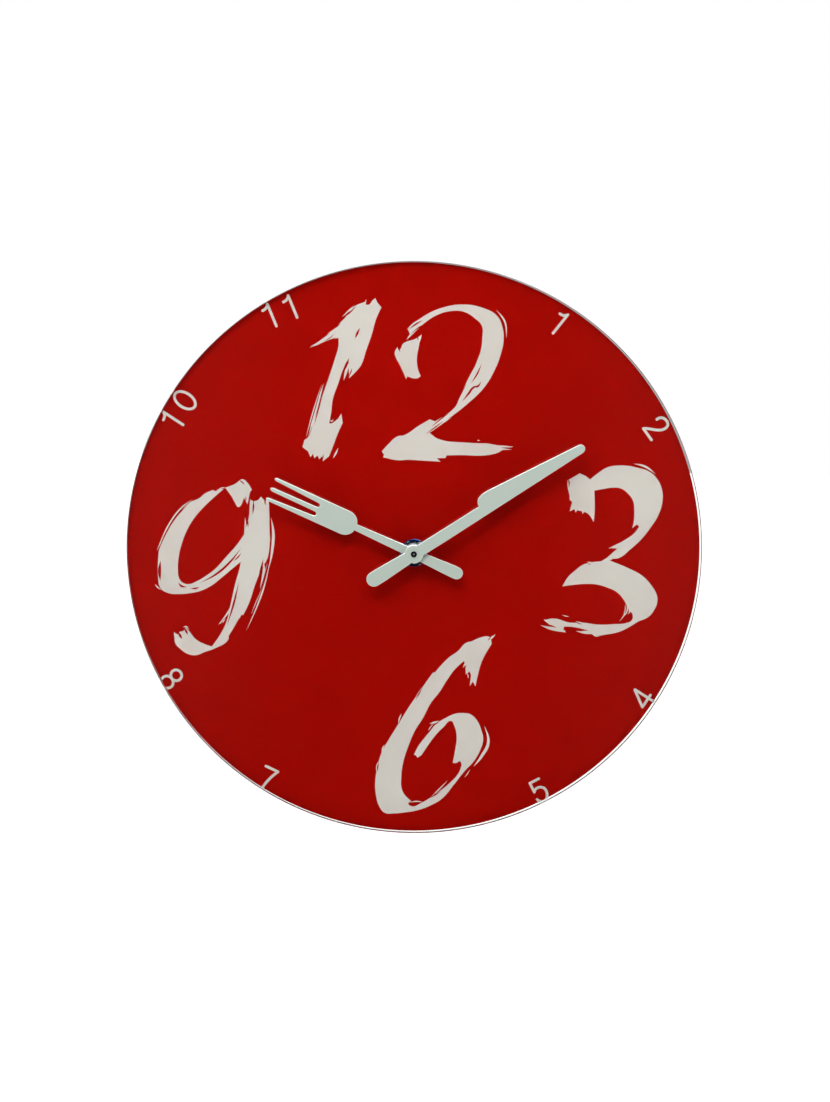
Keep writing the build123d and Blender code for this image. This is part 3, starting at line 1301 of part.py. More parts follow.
def knife_outline():
    """Table knife seen from the front: round tail, plain handle, blade with a round shoulder."""
    tail_centre = -KNIFE_TAIL + KNIFE_TAIL_HALF
    handle = tapered_bar(tail_centre, KNIFE_TAIL_HALF, 19, KNIFE_HANDLE_HALF)
    handle += Pos(tail_centre, 0) * Circle(KNIFE_TAIL_HALF)
    handle += Circle(KNIFE_HUB_RADIUS)
    tip_low = (101.5, -1.75)
    tip_high = (102.0, 2.75)
    blade_edge = Line((19, -KNIFE_HANDLE_HALF), tip_low)
    tip = ThreePointArc(tip_low, (KNIFE_REACH, 0.6), tip_high)
    back = Line(tip_high, (47.7, 8.0))
    shoulder = ThreePointArc((47.7, 8.0), (42.9, 6.4), (41.3, 3.15))
    handle_back = Line((41.3, 3.15), (19, KNIFE_HANDLE_HALF))
    root = Line((19, KNIFE_HANDLE_HALF), (19, -KNIFE_HANDLE_HALF))
    blade = make_face(Wire([blade_edge, tip, back, shoulder, handle_back, root]))
    return handle + blade


def hour_hand():
    """The fork."""
    face = fork_outline() - Circle(HOUR_PIPE_RADIUS + RIVET_WALL)
    return along_hand(face, HOUR_ANGLE, HOUR_HAND_BACK)


def minute_hand():
    """The knife."""
    face = knife_outline() - Circle(MINUTE_TUBE_RADIUS + RIVET_WALL)
    return along_hand(face, MINUTE_ANGLE, MINUTE_HAND_BACK)


def collet(bore, back):
    """Riveted bush: a collar behind the hand, a spigot through it and a rim in front."""
    front = back + HAND_THICKNESS
    spigot = bore + RIVET_WALL
    body = ring(bore + COLLET_WALL, bore, back - COLLET_LENGTH, back)
    body += ring(spigot, bore, back, front)
    rim = ring(spigot + 0.2, bore, front, front + COLLET_RIM)
    rim = fillet(rim.edges().filter_by(GeomType.CIRCLE).sort_by(Axis.Z)[-1], 0.08)
    return body + rim


# ---------------------------------------------------------------- every sub-part

parts = print_layers()
parts.update(
    glass_disc=glass_disc(),
    rubber_washer=rubber_washer(),
    dial_washer=dial_washer(),
    fixing_nut=fixing_nut(),
    threaded_bush=threaded_bush(),
    front_case=front_case(),
    rear_case=rear_case(),
    middle_plate=middle_plate(),
    third_wheel=third_wheel(),
    intermediate_wheel=intermediate_wheel(),
    seconds_wheel=seconds_wheel(),
    seconds_arbor=seconds_arbor(),
    centre_wheel=centre_wheel(),
    clutch_spring=clutch_spring(),
    minute_arbor=minute_arbor(),
    motion_wheel=motion_wheel(),
    hour_wheel=hour_wheel(),
    setting_pinion=setting_pinion(),
    setting_knob=setting_knob(),
    rotor_pinion=rotor_pinion(),
    rotor_magnet=rotor_magnet(),
    stator=stator(),
    coil_core=coil_core(),
    coil_bobbin=coil_bobbin(),
    coil_winding=coil_winding(),
    coil_leads=coil_leads(),
    circuit_board=circuit_board(),
    clock_chip=clock_chip(),
    quartz_crystal=quartz_crystal(),
    contact_negative=contact_negative(),
    contact_positive=contact_positive(),
    battery_can=battery_can(),
    battery_end=battery_end(),
    battery_insulator=battery_insulator(),
    battery_sleeve=battery_sleeve(),
    hour_hand=hour_hand(),
    hour_hand_collet=collet(HOUR_PIPE_RADIUS, HOUR_HAND_BACK),
    minute_hand=minute_hand(),
    minute_hand_collet=collet(MINUTE_TUBE_RADIUS, MINUTE_HAND_BACK),
)

STAND_UP = Rot(90, 0, 0)

os.makedirs("parts", exist_ok=True)
for name, shape in parts.items():
    export_step(STAND_UP * shape, f"parts/{name}.step")

print(len(parts), "parts, case", round(2 * HALF, 2), "by", round(CASE_TOP - CASE_BOTTOM, 2), "mm")
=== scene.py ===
# %% [markdown]
# # A glass wall clock with a fork and a knife for hands
#
# This notebook dresses an engineering model of a wall clock for its portrait. The engineering
# model is the frame: it says how large each piece is, where it sits and what it turns with.
# Blender adds what an engineer leaves out: the brush strokes of the big numerals, the soft rim
# of the cutlery, the depth of the glass and the finish of each surface.

# %% Load the frame
import bpy
import bmesh
from math import cos, hypot, pi, radians, sin
from mathutils import Matrix, Vector


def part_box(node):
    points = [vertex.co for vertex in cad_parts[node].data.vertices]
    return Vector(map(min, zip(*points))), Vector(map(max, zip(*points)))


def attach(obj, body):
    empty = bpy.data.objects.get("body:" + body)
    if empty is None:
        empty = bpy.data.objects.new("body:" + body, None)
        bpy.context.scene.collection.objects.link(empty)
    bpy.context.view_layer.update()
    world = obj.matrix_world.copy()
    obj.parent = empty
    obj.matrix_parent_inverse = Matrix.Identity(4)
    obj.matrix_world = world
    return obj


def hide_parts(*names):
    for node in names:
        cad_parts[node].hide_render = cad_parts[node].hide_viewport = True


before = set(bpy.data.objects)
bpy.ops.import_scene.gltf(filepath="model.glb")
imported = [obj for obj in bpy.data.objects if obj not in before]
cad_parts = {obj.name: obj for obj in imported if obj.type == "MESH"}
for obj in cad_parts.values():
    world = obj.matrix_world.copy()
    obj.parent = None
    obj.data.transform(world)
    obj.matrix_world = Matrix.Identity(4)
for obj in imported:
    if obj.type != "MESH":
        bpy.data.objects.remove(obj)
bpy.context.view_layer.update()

# %% [markdown]
# ## Two sets of directions
#
# A clock is easiest to draw flat on a bench: x to the right of the dial, y up the dial, z out of
# the wall. The frame stands the clock up, in metres, with Z up and the wall behind it at Y = 0.
# One function goes from the bench to the standing clock, so the drawing can stay in millimetres.

# %% Bench millimetres to standing metres
MM = 0.001


def stand(x, y, z):
    """A point on the bench, in millimetres, as a point of the standing clock, in metres."""
    return Vector((x * MM, -z * MM, y * MM))


def depth_range(node):
    """How far a node's back and front stand out from the wall, in millimetres."""
    low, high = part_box(node)
    return -high[1] / MM, -low[1] / MM


glass_back, glass_front = depth_range("glass_disc")
plate_radius = (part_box("glass_disc")[1][2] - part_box("glass_disc")[0][2]) / 2 / MM
print(f"glass from {glass_back:.2f} to {glass_front:.2f} mm, radius {plate_radius:.2f}")

# %% [markdown]
# ## The camera and the room come first
#
# The camera looks at the dial from a little above its centre, from less than a metre away, and
# is turned slightly about its own axis, so the clock leans a touch to the right. It is placed by
# the angles of its line of sight, because those are what a photographer would note down.

# %% The camera
SIGHT_DISTANCE = 0.847
SIGHT_ELEVATION = 6.37
SIGHT_AZIMUTH = 0.2
SIGHT_ROLL = 2.16
LENS = 53.1
AIM = stand(0.5, 0.94, glass_front)


def camera_axes(elevation, azimuth, roll):
    """The camera's right, up and backward directions."""
    e, a, r = radians(elevation), radians(azimuth), radians(roll)
    backward = Vector((sin(a) * cos(e), -cos(a) * cos(e), sin(e)))
    right = Vector((cos(a), sin(a), 0))
    up = backward.cross(right)
    return cos(r) * right + sin(r) * up, cos(r) * up - sin(r) * right, backward


right, up, backward = camera_axes(SIGHT_ELEVATION, SIGHT_AZIMUTH, SIGHT_ROLL)
camera = bpy.data.objects.new("camera", bpy.data.cameras.new("camera"))
camera.data.lens = LENS
camera.data.sensor_width = 36
turned_to_dial = Matrix((right, up, backward)).transposed().to_4x4()
camera.matrix_world = Matrix.Translation(AIM + backward * SIGHT_DISTANCE) @ turned_to_dial
bpy.context.scene.collection.objects.link(camera)
bpy.context.scene.camera = camera
print("camera at", [round(v, 3) for v in camera.matrix_world.translation])

# %% [markdown]
# ## Light for a glossy plate
#
# A sheet of glass is a weak mirror. A lamp straight in front of it would show as a white patch, so
# the main lamp, a soft box, stands above the camera, just higher than the plate can mirror it. It
# lights the top of the dial a little more than the bottom, and it lays the soft shadows of the
# hands a few millimetres below them. A second, weaker lamp overhead brings out the rims.

# %% Lamps
def lamp(name, place, size, power):
    """A soft lamp with a square face that looks at the middle of the dial."""
    data = bpy.data.lights.new(name, "AREA")
    data.shape = "RECTANGLE"
    data.size, data.size_y = size
    data.energy = power
    light = bpy.data.objects.new(name, data)
    light.location = place
    light.rotation_euler = (AIM - Vector(place)).to_track_quat("-Z", "Y").to_euler()
    light.visible_camera = False
    bpy.context.scene.collection.objects.link(light)
    return light


lamp("soft box", (-0.14, -0.72, 0.66), (0.6, 0.3), 10)
lamp("overhead lamp", (0.1, -0.3, 1.3), (1.2, 0.5), 5)
print("lamps:", [light.name for light in bpy.data.lights])

# %% [markdown]
# ## The room
#
# The rest of the light comes from all round, as in a white tent. Only straight in front of the
# dial, where the glass looks back past the camera, is the room dark, with a soft step up to the
# left and right. The background that the camera sees past the clock is plain white.

# %% The world
ROOM_LIGHT = 0.42
DARK_CORNER = 0.01
VEIL = 0.08

world = bpy.data.worlds.new("studio")
world.use_nodes = True
bpy.context.scene.world = world
nodes, links = world.node_tree.nodes, world.node_tree.links
nodes.clear()


def world_range(value, start, end, low, high):
    """A smooth step of a direction's component, between two brightnesses."""
    step = nodes.new("ShaderNodeMapRange")
    step.interpolation_type = "SMOOTHSTEP"
    for socket, number in zip(("From Min", "From Max", "To Min", "To Max"), (start, end, low, high)):
        step.inputs[socket].default_value = number
    links.new(value, step.inputs["Value"])
    return step.outputs[0]


split = nodes.new("ShaderNodeSeparateXYZ")
links.new(nodes.new("ShaderNodeTexCoord").outputs["Generated"], split.inputs[0])
sideways = nodes.new("ShaderNodeMath")
sideways.operation = "ABSOLUTE"
links.new(split.outputs["X"], sideways.inputs[0])
veil = world_range(sideways.outputs[0], 0.05, 0.2, DARK_CORNER, VEIL)
opening = world_range(split.outputs["Y"], -0.93, -0.78, 0.0, 1.0)
blend_in = nodes.new("ShaderNodeMix")
blend_in.inputs["B"].default_value = ROOM_LIGHT
links.new(opening, blend_in.inputs["Factor"])
links.new(veil, blend_in.inputs["A"])
room = nodes.new("ShaderNodeBackground")
links.new(blend_in.outputs["Result"], room.inputs["Strength"])
seen = nodes.new("ShaderNodeBackground")
for background in (room, seen):
    background.inputs["Color"].default_value = (1, 1, 1, 1)
mix = nodes.new("ShaderNodeMixShader")
links.new(nodes.new("ShaderNodeLightPath").outputs["Is Camera Ray"], mix.inputs[0])
links.new(room.outputs[0], mix.inputs[1])
links.new(seen.outputs[0], mix.inputs[2])
links.new(mix.outputs[0], nodes.new("ShaderNodeOutputWorld").inputs[0])
bpy.context.scene.view_settings.view_transform = "Standard"


# %% [markdown]
# ## Finishes are recipes of nodes
#
# Every finish below starts from the same shader. What makes one differ from the next is the
# colour, how sharp its reflections are, and a little unevenness in both, because nothing that
# was moulded, turned or printed is perfectly even. A small helper keeps each recipe short.

# %% The helper for finishes
class Finish:
    """A material with one main shader, and short ways to add nodes to it."""

    def __init__(self, name, colour, roughness=0.5, **sockets):
        self.material = bpy.data.materials.new(name)
        self.material.use_nodes = True
        self.nodes = self.material.node_tree.nodes
        self.links = self.material.node_tree.links
        self.shader = self.nodes["Principled BSDF"]
        self.colour = colour
        self.shader.inputs["Base Color"].default_value = (*colour, 1)
        self.shader.inputs["Roughness"].default_value = roughness
        for socket, value in sockets.items():
            self.shader.inputs[socket.replace("_", " ")].default_value = value
        self.place = self.nodes.new("ShaderNodeTexCoord").outputs["Object"]

    def stretched(self, scale):
        """Object coordinates multiplied by a different number along each axis."""
        mapping = self.nodes.new("ShaderNodeMapping")
        mapping.inputs["Scale"].default_value = scale
        self.links.new(self.place, mapping.inputs["Vector"])
        return mapping.outputs[0]

    def noise(self, scale, detail=3.0, along=None):
        """Cloudy noise. scale is in clouds to the metre."""
        texture = self.nodes.new("ShaderNodeTexNoise")
        texture.inputs["Scale"].default_value = scale
        texture.inputs["Detail"].default_value = detail
        texture.inputs["Distortion"].default_value = 0.0
        self.links.new(along or self.place, texture.inputs["Vector"])
        return texture.outputs["Fac"]

    def between(self, value, low, high):
        """The value, taken from 0..1 to low..high."""
        scale = self.nodes.new("ShaderNodeMapRange")
        scale.inputs["To Min"].default_value = low
        scale.inputs["To Max"].default_value = high
        self.links.new(value, scale.inputs["Value"])
        return scale.outputs[0]

    def shades(self, value, dark, light, start=0.3, end=0.7):
        """Drives the colour from one shade to another."""
        ramp = self.nodes.new("ShaderNodeValToRGB")
        ramp.color_ramp.elements[0].position = start
        ramp.color_ramp.elements[0].color = (*dark, 1)
        ramp.color_ramp.elements[1].position = end
        ramp.color_ramp.elements[1].color = (*light, 1)
        self.links.new(value, ramp.inputs[0])
        self.links.new(ramp.outputs[0], self.shader.inputs["Base Color"])
        return self

    def polish(self, value, low, high):
        """Drives the roughness."""
        self.links.new(self.between(value, low, high), self.shader.inputs["Roughness"])
        return self

    def bumps(self, value, height, strength=1.0):
        """Drives small bumps. height is in metres."""
        bump = self.nodes.new("ShaderNodeBump")
        bump.inputs["Distance"].default_value = height
        bump.inputs["Strength"].default_value = strength
        self.links.new(value, bump.inputs["Height"])
        self.links.new(bump.outputs[0], self.shader.inputs["Normal"])
        return self

    def uneven(self, scale=300, amount=0.12):
        """A gentle cloudiness in the colour."""
        dark = tuple(c * (1 - amount) for c in self.colour)
        light = tuple(min(1, c * (1 + amount)) for c in self.colour)
        return self.shades(self.noise(scale), dark, light)


def give(finish, *names):
    """Puts a finish on nodes of the frame."""
    for name in names:
        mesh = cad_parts[name].data
        mesh.materials.clear()
        mesh.materials.append(finish.material)


def add_piece(name, mesh, body, finish, stands_for=()):
    """A new piece of the clock: it rides on a body and may stand for nodes of the frame."""
    piece = bpy.data.objects.new(name, mesh)
    bpy.context.scene.collection.objects.link(piece)
    mesh.materials.clear()
    mesh.materials.append(finish.material)
    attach(piece, body)
    if stands_for:
        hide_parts(*stands_for)
    return piece


# %% [markdown]
# ## The floor
#
# The clock hangs, so the floor is well below it, pale and matt. It glows a little, so that it
# meets the white background without a line. The glass doesn't mirror it, since its horizon would
# show as a hard line across the dial.

# %% The floor
floor_paint = Finish("floor paint", (0.86, 0.86, 0.85), 0.9, Emission_Strength=0.85).uneven(3, 0.01)
floor_paint.shader.inputs["Emission Color"].default_value = (1, 1, 1, 1)
floor_mesh = bpy.data.meshes.new("floor")
FLOOR_SIDE, FLOOR_BACK, FLOOR_FRONT, FLOOR_DROP = 9.0, 14.0, -1.5, -0.75
left, right_side = -FLOOR_SIDE, FLOOR_SIDE
corners = [(left, FLOOR_FRONT), (right_side, FLOOR_FRONT), (right_side, FLOOR_BACK), (left, FLOOR_BACK)]
floor_mesh.from_pydata([(x, y, FLOOR_DROP) for x, y in corners], [], [(0, 1, 2, 3)])
floor_mesh.materials.append(floor_paint.material)
floor = bpy.data.objects.new("floor", floor_mesh)
floor.visible_glossy = False
bpy.context.scene.collection.objects.link(floor)

# %% [markdown]
# ## Turned pieces
#
# The plate and its coat of ink are round. They are made as a turner would cut them on a lathe, from
# a profile: a list of radii and depths is spun about an axis.

# %% The lathe
def turned(name, profile, steps, centre=(0, 0)):
    """A mesh of revolution. profile is a closed list of (radius, depth), in millimetres."""
    shape = bmesh.new()
    rings = []
    for radius, depth in profile:
        ring = []
        for n in range(steps):
            turn = 2 * pi * n / steps
            x, y = centre[0] + radius * cos(turn), centre[1] + radius * sin(turn)
            ring.append(shape.verts.new(stand(x, y, depth)))
        rings.append(ring)
    for one, other in zip(rings, rings[1:] + rings[:1]):
        for n in range(steps):
            k = (n + 1) % steps
            shape.faces.new((one[n], one[k], other[k], other[n]))
    bmesh.ops.recalc_face_normals(shape, faces=shape.faces)
    mesh = bpy.data.meshes.new(name)
    shape.to_mesh(mesh)
    shape.free()
    return mesh


def smooth_by_angle(mesh, degrees=30):
    """Smooth shading that stays sharp where faces meet at more than an angle."""
    shape = bmesh.new()
    shape.from_mesh(mesh)
    limit = radians(degrees)
    for face in shape.faces:
        face.smooth = True
    for edge in shape.edges:
        edge.smooth = len(edge.link_faces) == 2 and edge.calc_face_angle(0) < limit
    shape.to_mesh(mesh)
    shape.free()
    return mesh


# %% [markdown]
# ## The glass plate
#
# It is 4 mm float glass. The face must be perfectly smooth, because it is judged by its
# reflections, so it gets many steps round its rim and no bumps. Glass looks green only where light
# travels far through it, so the green is put in the volume and not on the surface. The edge is
# cut and ground on a belt, which leaves it matt and grey-green all the way round. It is the same
# piece of glass, so the plate is one mesh with a second finish on the faces of its edge.
#
# The ink lies on the back face with no air between them. If both met in the same plane, the
# renderer would see air there and make the ink shine twice. So the back of the glass is a
# twenty-fifth of a millimetre behind the front of the ink, and the ink is inside the glass.

# %% Glass
INK_IN_GLASS = 0.04
FRONT_BEVEL = 0.25
BACK_BEVEL = 0.1
FRONT_FACE = 0.9
HOLE_RADIUS = 4.3

clear_glass = Finish("clear glass", (1, 1, 1), 0.0, Transmission_Weight=1.0, IOR=1.5)
absorb = clear_glass.nodes.new("ShaderNodeVolumeAbsorption")
absorb.inputs["Color"].default_value = (0.55, 0.85, 0.7, 1)
absorb.inputs["Density"].default_value = 4.0
clear_glass.links.new(absorb.outputs[0], clear_glass.nodes["Material Output"].inputs["Volume"])

ground_glass = Finish("ground glass edge", (0.40, 0.47, 0.42), 0.6, Transmission_Weight=0.2, IOR=1.5)
ground_glass.uneven(120, 0.12)
ground_glass.bumps(ground_glass.noise(2600, 3), 0.00003, 0.6)

seat = glass_back - INK_IN_GLASS
profile = [
    (HOLE_RADIUS, seat),
    (HOLE_RADIUS, glass_front),
    (plate_radius - FRONT_BEVEL, glass_front),
    (plate_radius, glass_front - FRONT_BEVEL),
    (plate_radius, seat + BACK_BEVEL),
    (plate_radius - BACK_BEVEL, seat),
]
plate = smooth_by_angle(turned("glass plate", profile, steps=720), 20)
add_piece("glass_plate", plate, "clock_case", clear_glass, ["glass_disc"])
plate.materials.append(ground_glass.material)
for face in plate.polygons:
    middle = Vector((face.center.x, face.center.z))
    if middle.length > (plate_radius - BACK_BEVEL) * MM and abs(face.normal.y) < FRONT_FACE:
        face.material_index = 1
print("glass plate:", len(plate.polygons), "faces")

# %% [markdown]
# ## The red coat
#
# Behind the numerals the whole plate is flooded with red. Screen ink is dense and even, with a
# slight mottle where it dried. The flood is set a fraction off centre, so the red runs out to the
# edge on the left and stops short of it on the right, where a thin crescent of the grey ground edge
# shows. The ground edge is the glass's own, and showing it on the right side only is a painted
# highlight for light from the right.

# %% Red ink
# Shifts the red left so only the right rim shows the lighter ground edge, a painted highlight.
RED_SHIFT_FOR_EDGE_HIGHLIGHT = (-0.46, 0.12)
PRINT_RADIUS = 149.5
RED_IN_GLASS = 0.03
red_front = glass_back - RED_IN_GLASS
red_back = depth_range("red_print")[0]

red_ink = Finish("red ink", (0.475, 0.0038, 0.001), 0.55, Specular_IOR_Level=0.0)
red_ink.shades(red_ink.noise(55, 4), (0.465, 0.0034, 0.0009), (0.49, 0.0043, 0.0012))
red_ink.polish(red_ink.noise(900), 0.5, 0.65)

profile = [
    (HOLE_RADIUS, red_back),
    (HOLE_RADIUS, red_front),
    (PRINT_RADIUS, red_front),
    (PRINT_RADIUS, red_back),
]
coat = smooth_by_angle(turned("red coat", profile, steps=480, centre=RED_SHIFT_FOR_EDGE_HIGHLIGHT))
add_piece("red_coat", coat, "clock_case", red_ink, ["red_print"])
print("red coat:", len(coat.polygons), "faces, radius", PRINT_RADIUS)

# %% [markdown]
# ## Brush strokes
#
# The big numerals look as if a broad dry brush had pulled off-white paint over the glass: full
# in the middle of a stroke, frayed where the bristles lift. A font can't do that, so each stroke
# is an outline drawn point by point as a Bezier curve, filled and cut flat. In the lists below a
# point is x,y in millimetres on the dial, and a star after it makes a sharp corner.
#
# Bristles are drawn apart from the strokes, each as a path with a width that dies away at both
# ends. A stray bristle leaves a hair of white beside the stroke. A dry one leaves a bare line in
# it, which the red flood fills up to the glass, so those lines are red ink, flush with the glass.
# Wet paint spreads a little, so both kinds of trace are wider than the bristle that left them.

# %% Drawing with outlines
white_ink = Finish("off-white ink", (0.91, 0.935, 0.86), 0.5, Specular_IOR_Level=0.0)
white_ink.shades(white_ink.noise(160, 5), (0.895, 0.92, 0.84), (0.925, 0.95, 0.88))


def path_points(text):
    """Reads 'x,y x,y* ...' into (x, y, is a corner)."""
    points = []
    for word in text.split():
        x, y = word.rstrip("*").split(",")
        points.append((float(x), float(y), word.endswith("*")))
    return points


def bristle(text, width):
    """The outline of one bristle's trace: full width between its ends, and nothing at them."""
    points = [(x, y) for x, y, _ in path_points(text)]
    one_side, other_side = [], []
    for before, here, after in zip(points, points[1:], points[2:]):
        along_x, along_y = after[0] - before[0], after[1] - before[1]
        length = hypot(along_x, along_y)
        shift_x, shift_y = -along_y / length * width / 2, along_x / length * width / 2
        one_side.append((here[0] + shift_x, here[1] + shift_y, False))
        other_side.append((here[0] - shift_x, here[1] - shift_y, False))
    return [(*points[0], True)] + one_side + [(*points[-1], True)] + other_side[::-1]


def add_outline(curve, points):
    """Adds one closed Bezier outline to a flat curve."""
    spline = curve.splines.new("BEZIER")
    spline.bezier_points.add(len(points) - 1)
    spline.use_cyclic_u = True
    spline.resolution_u = 8
    for knot, (x, y, corner) in zip(spline.bezier_points, points):
        knot.co = (x, y, 0)
        kind = "VECTOR" if corner else "AUTO"
        knot.handle_left_type = knot.handle_right_type = kind


def flat_mesh(name, outlines, back, front, bevel=0.0, bevel_steps=3):
    """Fills closed outlines and gives them thickness between two depths, in millimetres."""
    curve = bpy.data.curves.new(name, "CURVE")
    curve.dimensions = "2D"
    curve.fill_mode = "BOTH"
    for points in outlines:
        add_outline(curve, points)
    curve.extrude = (front - back) / 2 - bevel
    if bevel:
        curve.bevel_depth = bevel
        curve.offset = -bevel
        curve.bevel_resolution = bevel_steps
    holder = bpy.data.objects.new(name, curve)
    bpy.context.scene.collection.objects.link(holder)
    bpy.context.view_layer.update()
    mesh = bpy.data.meshes.new_from_object(holder.evaluated_get(bpy.context.evaluated_depsgraph_get()))
    bpy.data.objects.remove(holder)
    bpy.data.curves.remove(curve)
    mesh.name = name
    middle = (front + back) / 2
    for vertex in mesh.vertices:
        x, y, z = vertex.co
        vertex.co = stand(x, y, z + middle)
    return mesh


def join(name, meshes):
    """One mesh from several."""
    shape = bmesh.new()
    for mesh in meshes:
        shape.from_mesh(mesh)
    whole = bpy.data.meshes.new(name)
    shape.to_mesh(whole)
    shape.free()
    return whole


# %% One brushed numeral
INK_BACK = glass_back - 0.035
HAIRS_BEHIND = 0.004
BARE_LINES_PROUD = 0.008
DRY_SPREAD = 1.45
HAIR_SPREAD = 1.15


def traces(name, lines, spread, back, front):
    """Many bristle traces as one mesh. Each is filled alone, so traces may cross."""
    outlines = [bristle(text, width * spread) for text, width in lines]
    return join(name, [flat_mesh(name, [outline], back, front) for outline in outlines])


def brushed(numeral, strokes, stray, bare):
    """One numeral: its strokes with stray bristles, in white, and its bare lines, in red."""
    node = "numeral_" + numeral
    outlines = [path_points(text) for text in strokes]
    full = flat_mesh("strokes", outlines, INK_BACK, glass_back)
    hairs = traces("hairs", stray, HAIR_SPREAD, INK_BACK, glass_back - HAIRS_BEHIND)
    white = join("brushed_" + numeral, [full, hairs])
    add_piece("brushed_" + numeral, white, "clock_case", white_ink, [node])
    red = traces("bare_lines", bare, DRY_SPREAD, INK_BACK, glass_back + BARE_LINES_PROUD)
    add_piece("bare_lines_" + numeral, red, "clock_case", red_ink)
    print(numeral, "has", len(strokes), "strokes,", len(stray), "stray and", len(bare), "dry bristles")


# %% The 12
brushed(
    "12",
    strokes=[
        """-57,104.5* -48,111.5 -43,116 -40,120 -36,125.5 -30,128.5* -29.3,126.9* -27.6,127.2*
        -26.2,129.3* -24.8,130.6* -23.6,128.2* -21.5,126* -24,120 -26,112 -28.5,104 -31,96 -34.5,91.5*
        -36.6,89.4* -37.2,92.5* -37.5,99* -40,94 -42.5,86 -45,78 -45.5,72 -46.5,65.5* -45,65.5*
        -42,68* -40.3,70.8* -39.5,66* -42,60 -44,54 -46,48.5* -49,45.8* -49.7,48.2* -51,46.7*
        -52,48.6* -53.6,47.2* -54.4,49.4* -55.6,47.6* -57,50.6* -59.9,52.7* -59,56.5* -57.5,57.5
        -54.6,66 -51.5,76 -49,84 -46.5,92 -44.5,99 -43,105 -43,109.5* -46,109*""",
        """-7.5,115.3* 0,122 10,127 21,129 31,127.5 38,124 41,118.5 42,112 41,105 38,96 33,87 25,78.5
        15,70 5.5,62.5* 6.5,62* 10,59.7 25,58.2 36,58.2* 44,57* 49.3,57.1* 44.5,55.4* 40,53 20,51.5
        15,51.2* 14.5,49.8* 10,49.5* 12,47.8* -5,48.2* -10,47.7 -18,49* -17.4,50.2* -18.7,52*
        -15.5,55.8 -11,60 -7.5,60.8 0,66 5.5,69.5* 8.5,68.5* 18.5,76.5 20.5,81 23,86.5 26,93 29,101
        30.5,106 31,112 30.5,118.5 27,122 21,125.3 15,125.5 7,123 0,118 -7,111.5* -8,110*
        -6.3,113*""",
        """-13.2,105* -12.5,106* -11.8,104.7 -9.5,108 -3,110.8 -0.6,112.6* -1.5,107 -2.3,100 -1.5,95
        0,91.5* -2,90.3 -7,91.2* -7.4,89.7* -8.6,92.3 -9.6,94.3 -11.3,97.5 -12.9,100.2 -13.8,103""",
    ],
    stray=[
        ("-58.4,57 -55.3,70 -50.8,86", 0.5),
        ("-57,58 -53.6,72.5 -50,86", 1.3),
        ("-58,104 -51,107.2 -44.5,109.9", 0.8),
        ("-57.5,104.6 -50,108.6 -44,112", 0.7),
        ("-49.2,111 -46,113.2 -42,116.4", 0.6),
        ("-43.5,116 -40.5,119 -37.5,121.6", 0.5),
        ("-41.6,120.2 -38.4,123.5 -35.4,126.6", 0.5),
        ("-30.4,126 -29.8,128 -29.5,129.9", 0.5),
        ("-43.9,47.4 -42.6,50 -41.3,53", 0.8),
        ("-36.6,98.5 -38.6,92.5 -39.7,87.8", 1.2),
        ("-34,97 -35.8,93 -36.9,89", 0.8),
        ("-46.2,68 -45.3,66.6 -44.2,68.2", 0.5),
        ("-8.2,115 -4,118.7 0.5,121.6", 0.8),
        ("-8,109.8 -5,113.6 -1,117.2", 0.9),
        ("0.8,119.6 2.6,120.8 4.8,121.8", 0.5),
        ("37.4,127.1 42.2,121 43.5,112.5", 0.8),
        ("30,101.5 26,93 22.6,86.4", 0.8),
        ("17.2,71.2 11,67 5,62", 0.6),
        ("9.5,69.4 7.5,67.4 5.4,66.2", 0.5),
        ("40,57.4 45,57 49.5,56.9", 0.6),
        ("40.5,55.2 45,55.5 48.8,55.6", 0.5),
        ("30.4,59.3 31.2,59.6 32.2,59.4", 0.35),
        ("-1.4,108.5 -0.9,111 -0.2,113.2", 0.6),
    ],
    bare=[
        ("-34.5,109.4 -33.5,112.2 -32.1,115.2", 0.8),
        ("-58,57.4 -54.6,70.5 -50.6,86.2", 0.35),
        ("-54.3,63.5 -51.8,75 -49.3,86.5", 0.6),
        ("-55.5,104.6 -49,107.6 -43.6,110", 0.45),
        ("-50.5,107.6 -47.5,109.4 -45,111.6", 0.3),
        ("-41,120 -37.6,122.8 -34.3,126.3", 0.5),
        ("-37.2,99.6 -38.7,95.6 -40.5,91.4", 0.9),
        ("-35.5,94.6 -36.2,92 -37,90", 0.4),
        ("-45.6,74.2 -45.1,73.4 -44.8,72.6", 0.4),
        ("-48.9,49.4 -49.2,47.6 -49.4,45.8", 0.4),
        ("-7,115.4 -3.4,118.1 0,120.2", 0.55),
        ("-6.4,112.2 -2.6,116 1,118.4", 0.35),
        ("39.2,125 42,119.4 42.7,112", 0.5),
        ("31.3,99.2 29,93.6 26.2,88.8", 0.55),
        ("31.4,90 29.6,87.4 27.8,87 25,83.4 22,79.4", 0.7),
        ("15.8,73.4 11.6,70.2 6.2,65.2", 0.45),
        ("13,69.2 8.6,65.6 3.6,61.6", 0.45),
        ("50,56.4 46,56.2 43,56.3", 0.45),
        ("-2.3,112 -2.1,110.8 -2,109.6", 0.4),
        ("-11.9,105.6 -11.5,104.6 -11,103.6", 0.4),
    ],
)

